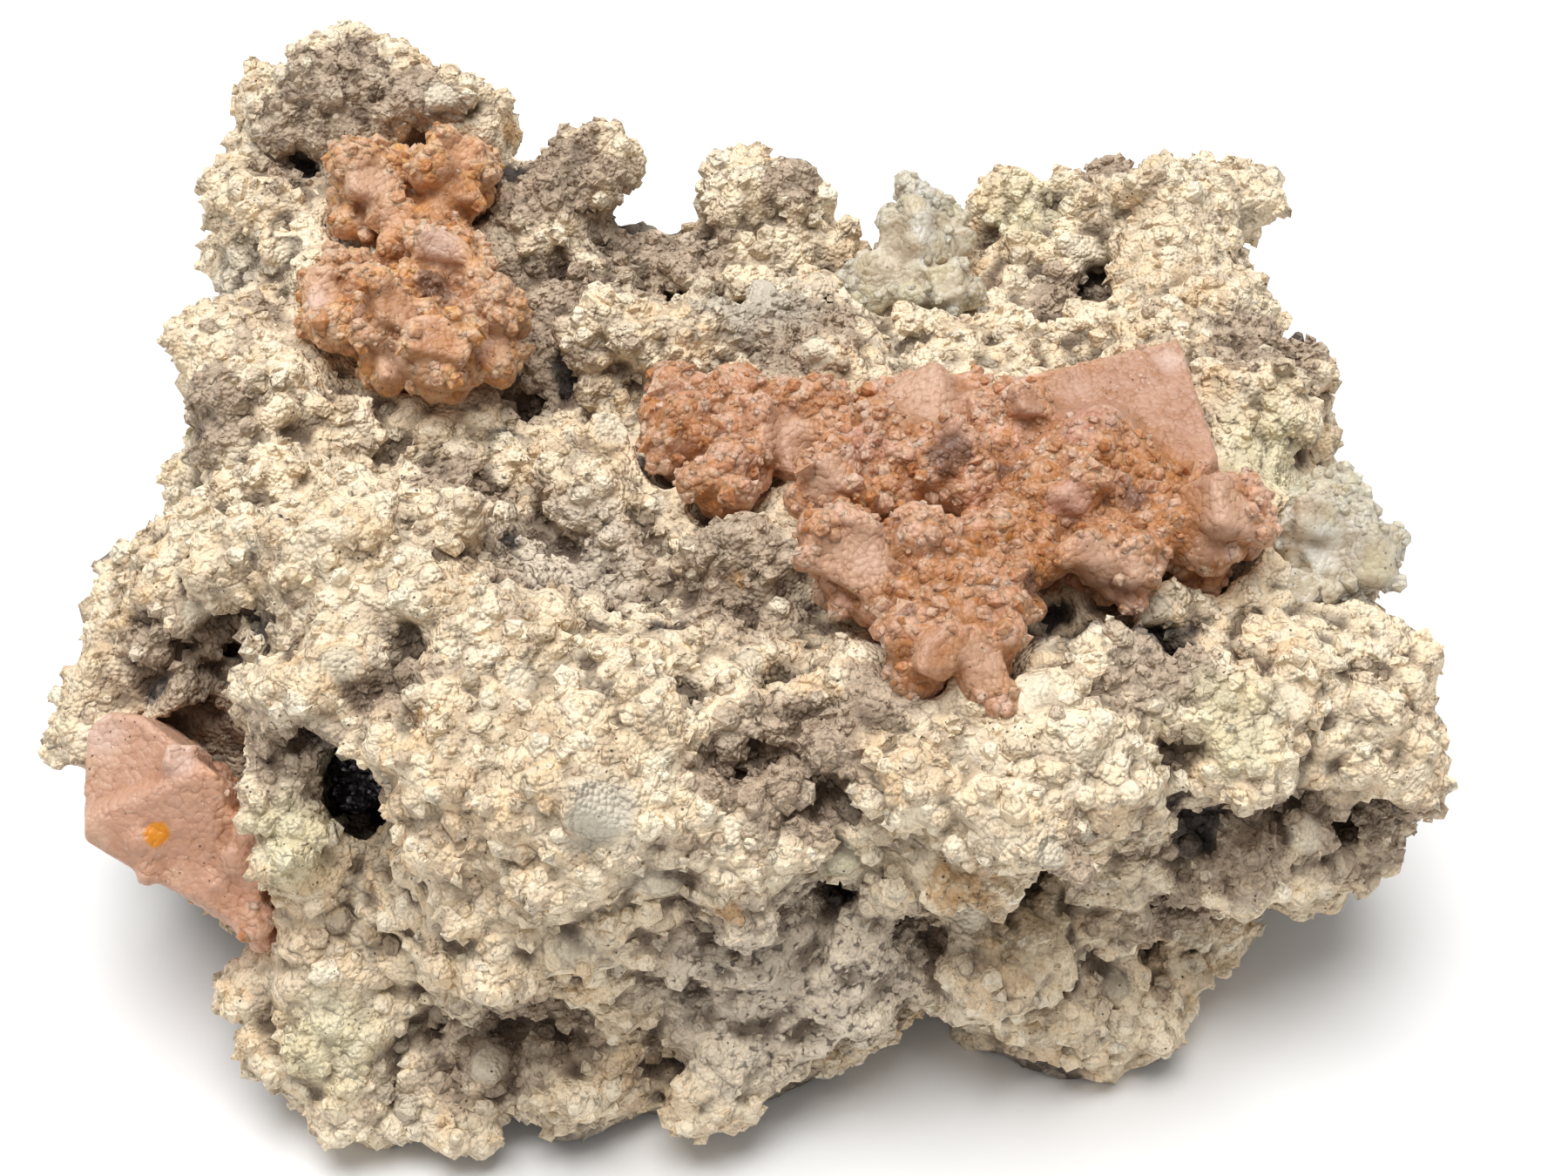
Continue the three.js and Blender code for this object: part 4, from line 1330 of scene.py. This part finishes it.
crystal_mass(
    "colourless_crystals_right", "colourless_crystal", colourless_material,
    nuggets={
        "left": (1470, 650, 2.6, 2.2, 0),
        "right": (1578, 640, 1.8, 2.2, 20),
        "low": (1500, 685, 2.2, 1.4, -10),
        "foot": (1560, 690, 1.4, 1.1, 0),
        "top": (1510, 600, 2.4, 1.4, 10),
    },
    plain={"middle": (1530, 632, 3.2)},
    seed=14,
    grains=(1.05, 0.3, 0.85),
    pale={"middle": (1530, 630, 4)},
)

# ---- Black mineral ----
# A seam of black mineral in tiny glittering crystals. It has grown on the bottom of the pit at the front
# left, where only its top shows.
SEAM_GRAIN = 0.35 * MM


def black_finish():
    """Black, half shiny, with bright glints on a few grains."""
    black = Finish("black_mineral", Specular_IOR_Level=0.8)
    jet = (0.012, 0.010, 0.014, 1)
    silver = (0.35, 0.32, 0.36, 1)
    tone = black.add("ShaderNodeSeparateColor", {}, [black.cells(SEAM_GRAIN, out="Color")])
    glint = black.between(tone, 0.86, 0.95)
    black.feed(Base_Color=black.mix(glint, jet, silver))
    black.feed(Roughness=0.45 - glint * 0.3)
    black.feed(Normal=black.bump(black.cells(SEAM_GRAIN), 0.2 * MM))
    return black.material


crystal_mass(
    "black_seam", "black_mineral", black_finish(), nuggets={}, plain={}, seed=16, grains=(0.5, 0.25, 0.5)
)

# ---- Floor and light ----
# A white table that the block stands on, and soft white light from all round. One large round lamp hangs
# above, and its size softens the shadows.
FLOOR_REACH = 3.0  # m, well past the edges of the frame
corners = [(x * FLOOR_REACH, y * FLOOR_REACH, 0) for x, y in ((-1, -1), (1, -1), (1, 1), (-1, 1))]
floor_mesh = bpy.data.meshes.new("floor")
floor_mesh.from_pydata(corners, [], [(0, 1, 2, 3)])
floor = bpy.data.objects.new("floor", floor_mesh)
bpy.context.scene.collection.objects.link(floor)
floor_mesh.materials.append(Finish("white_table", Base_Color=(0.9, 0.9, 0.9, 1), Roughness=0.6).material)

world = bpy.data.worlds.new("studio")
bpy.context.scene.world = world
world.use_nodes = True
world.node_tree.nodes["Background"].inputs["Color"].default_value = (1, 1, 1, 1)
world.node_tree.nodes["Background"].inputs["Strength"].default_value = 0.36

lamp_data = bpy.data.lights.new("softbox", "AREA")
lamp_data.shape, lamp_data.size = "DISK", 0.8
lamp_data.energy = 10.6
lamp = bpy.data.objects.new("softbox", lamp_data)
bpy.context.scene.collection.objects.link(lamp)
lamp.location = (-0.08, 0.03, 0.9)
lamp.rotation_euler = (-lamp.location).to_track_quat("-Z", "Y").to_euler()
bpy.context.scene.view_settings.view_transform = "Standard"
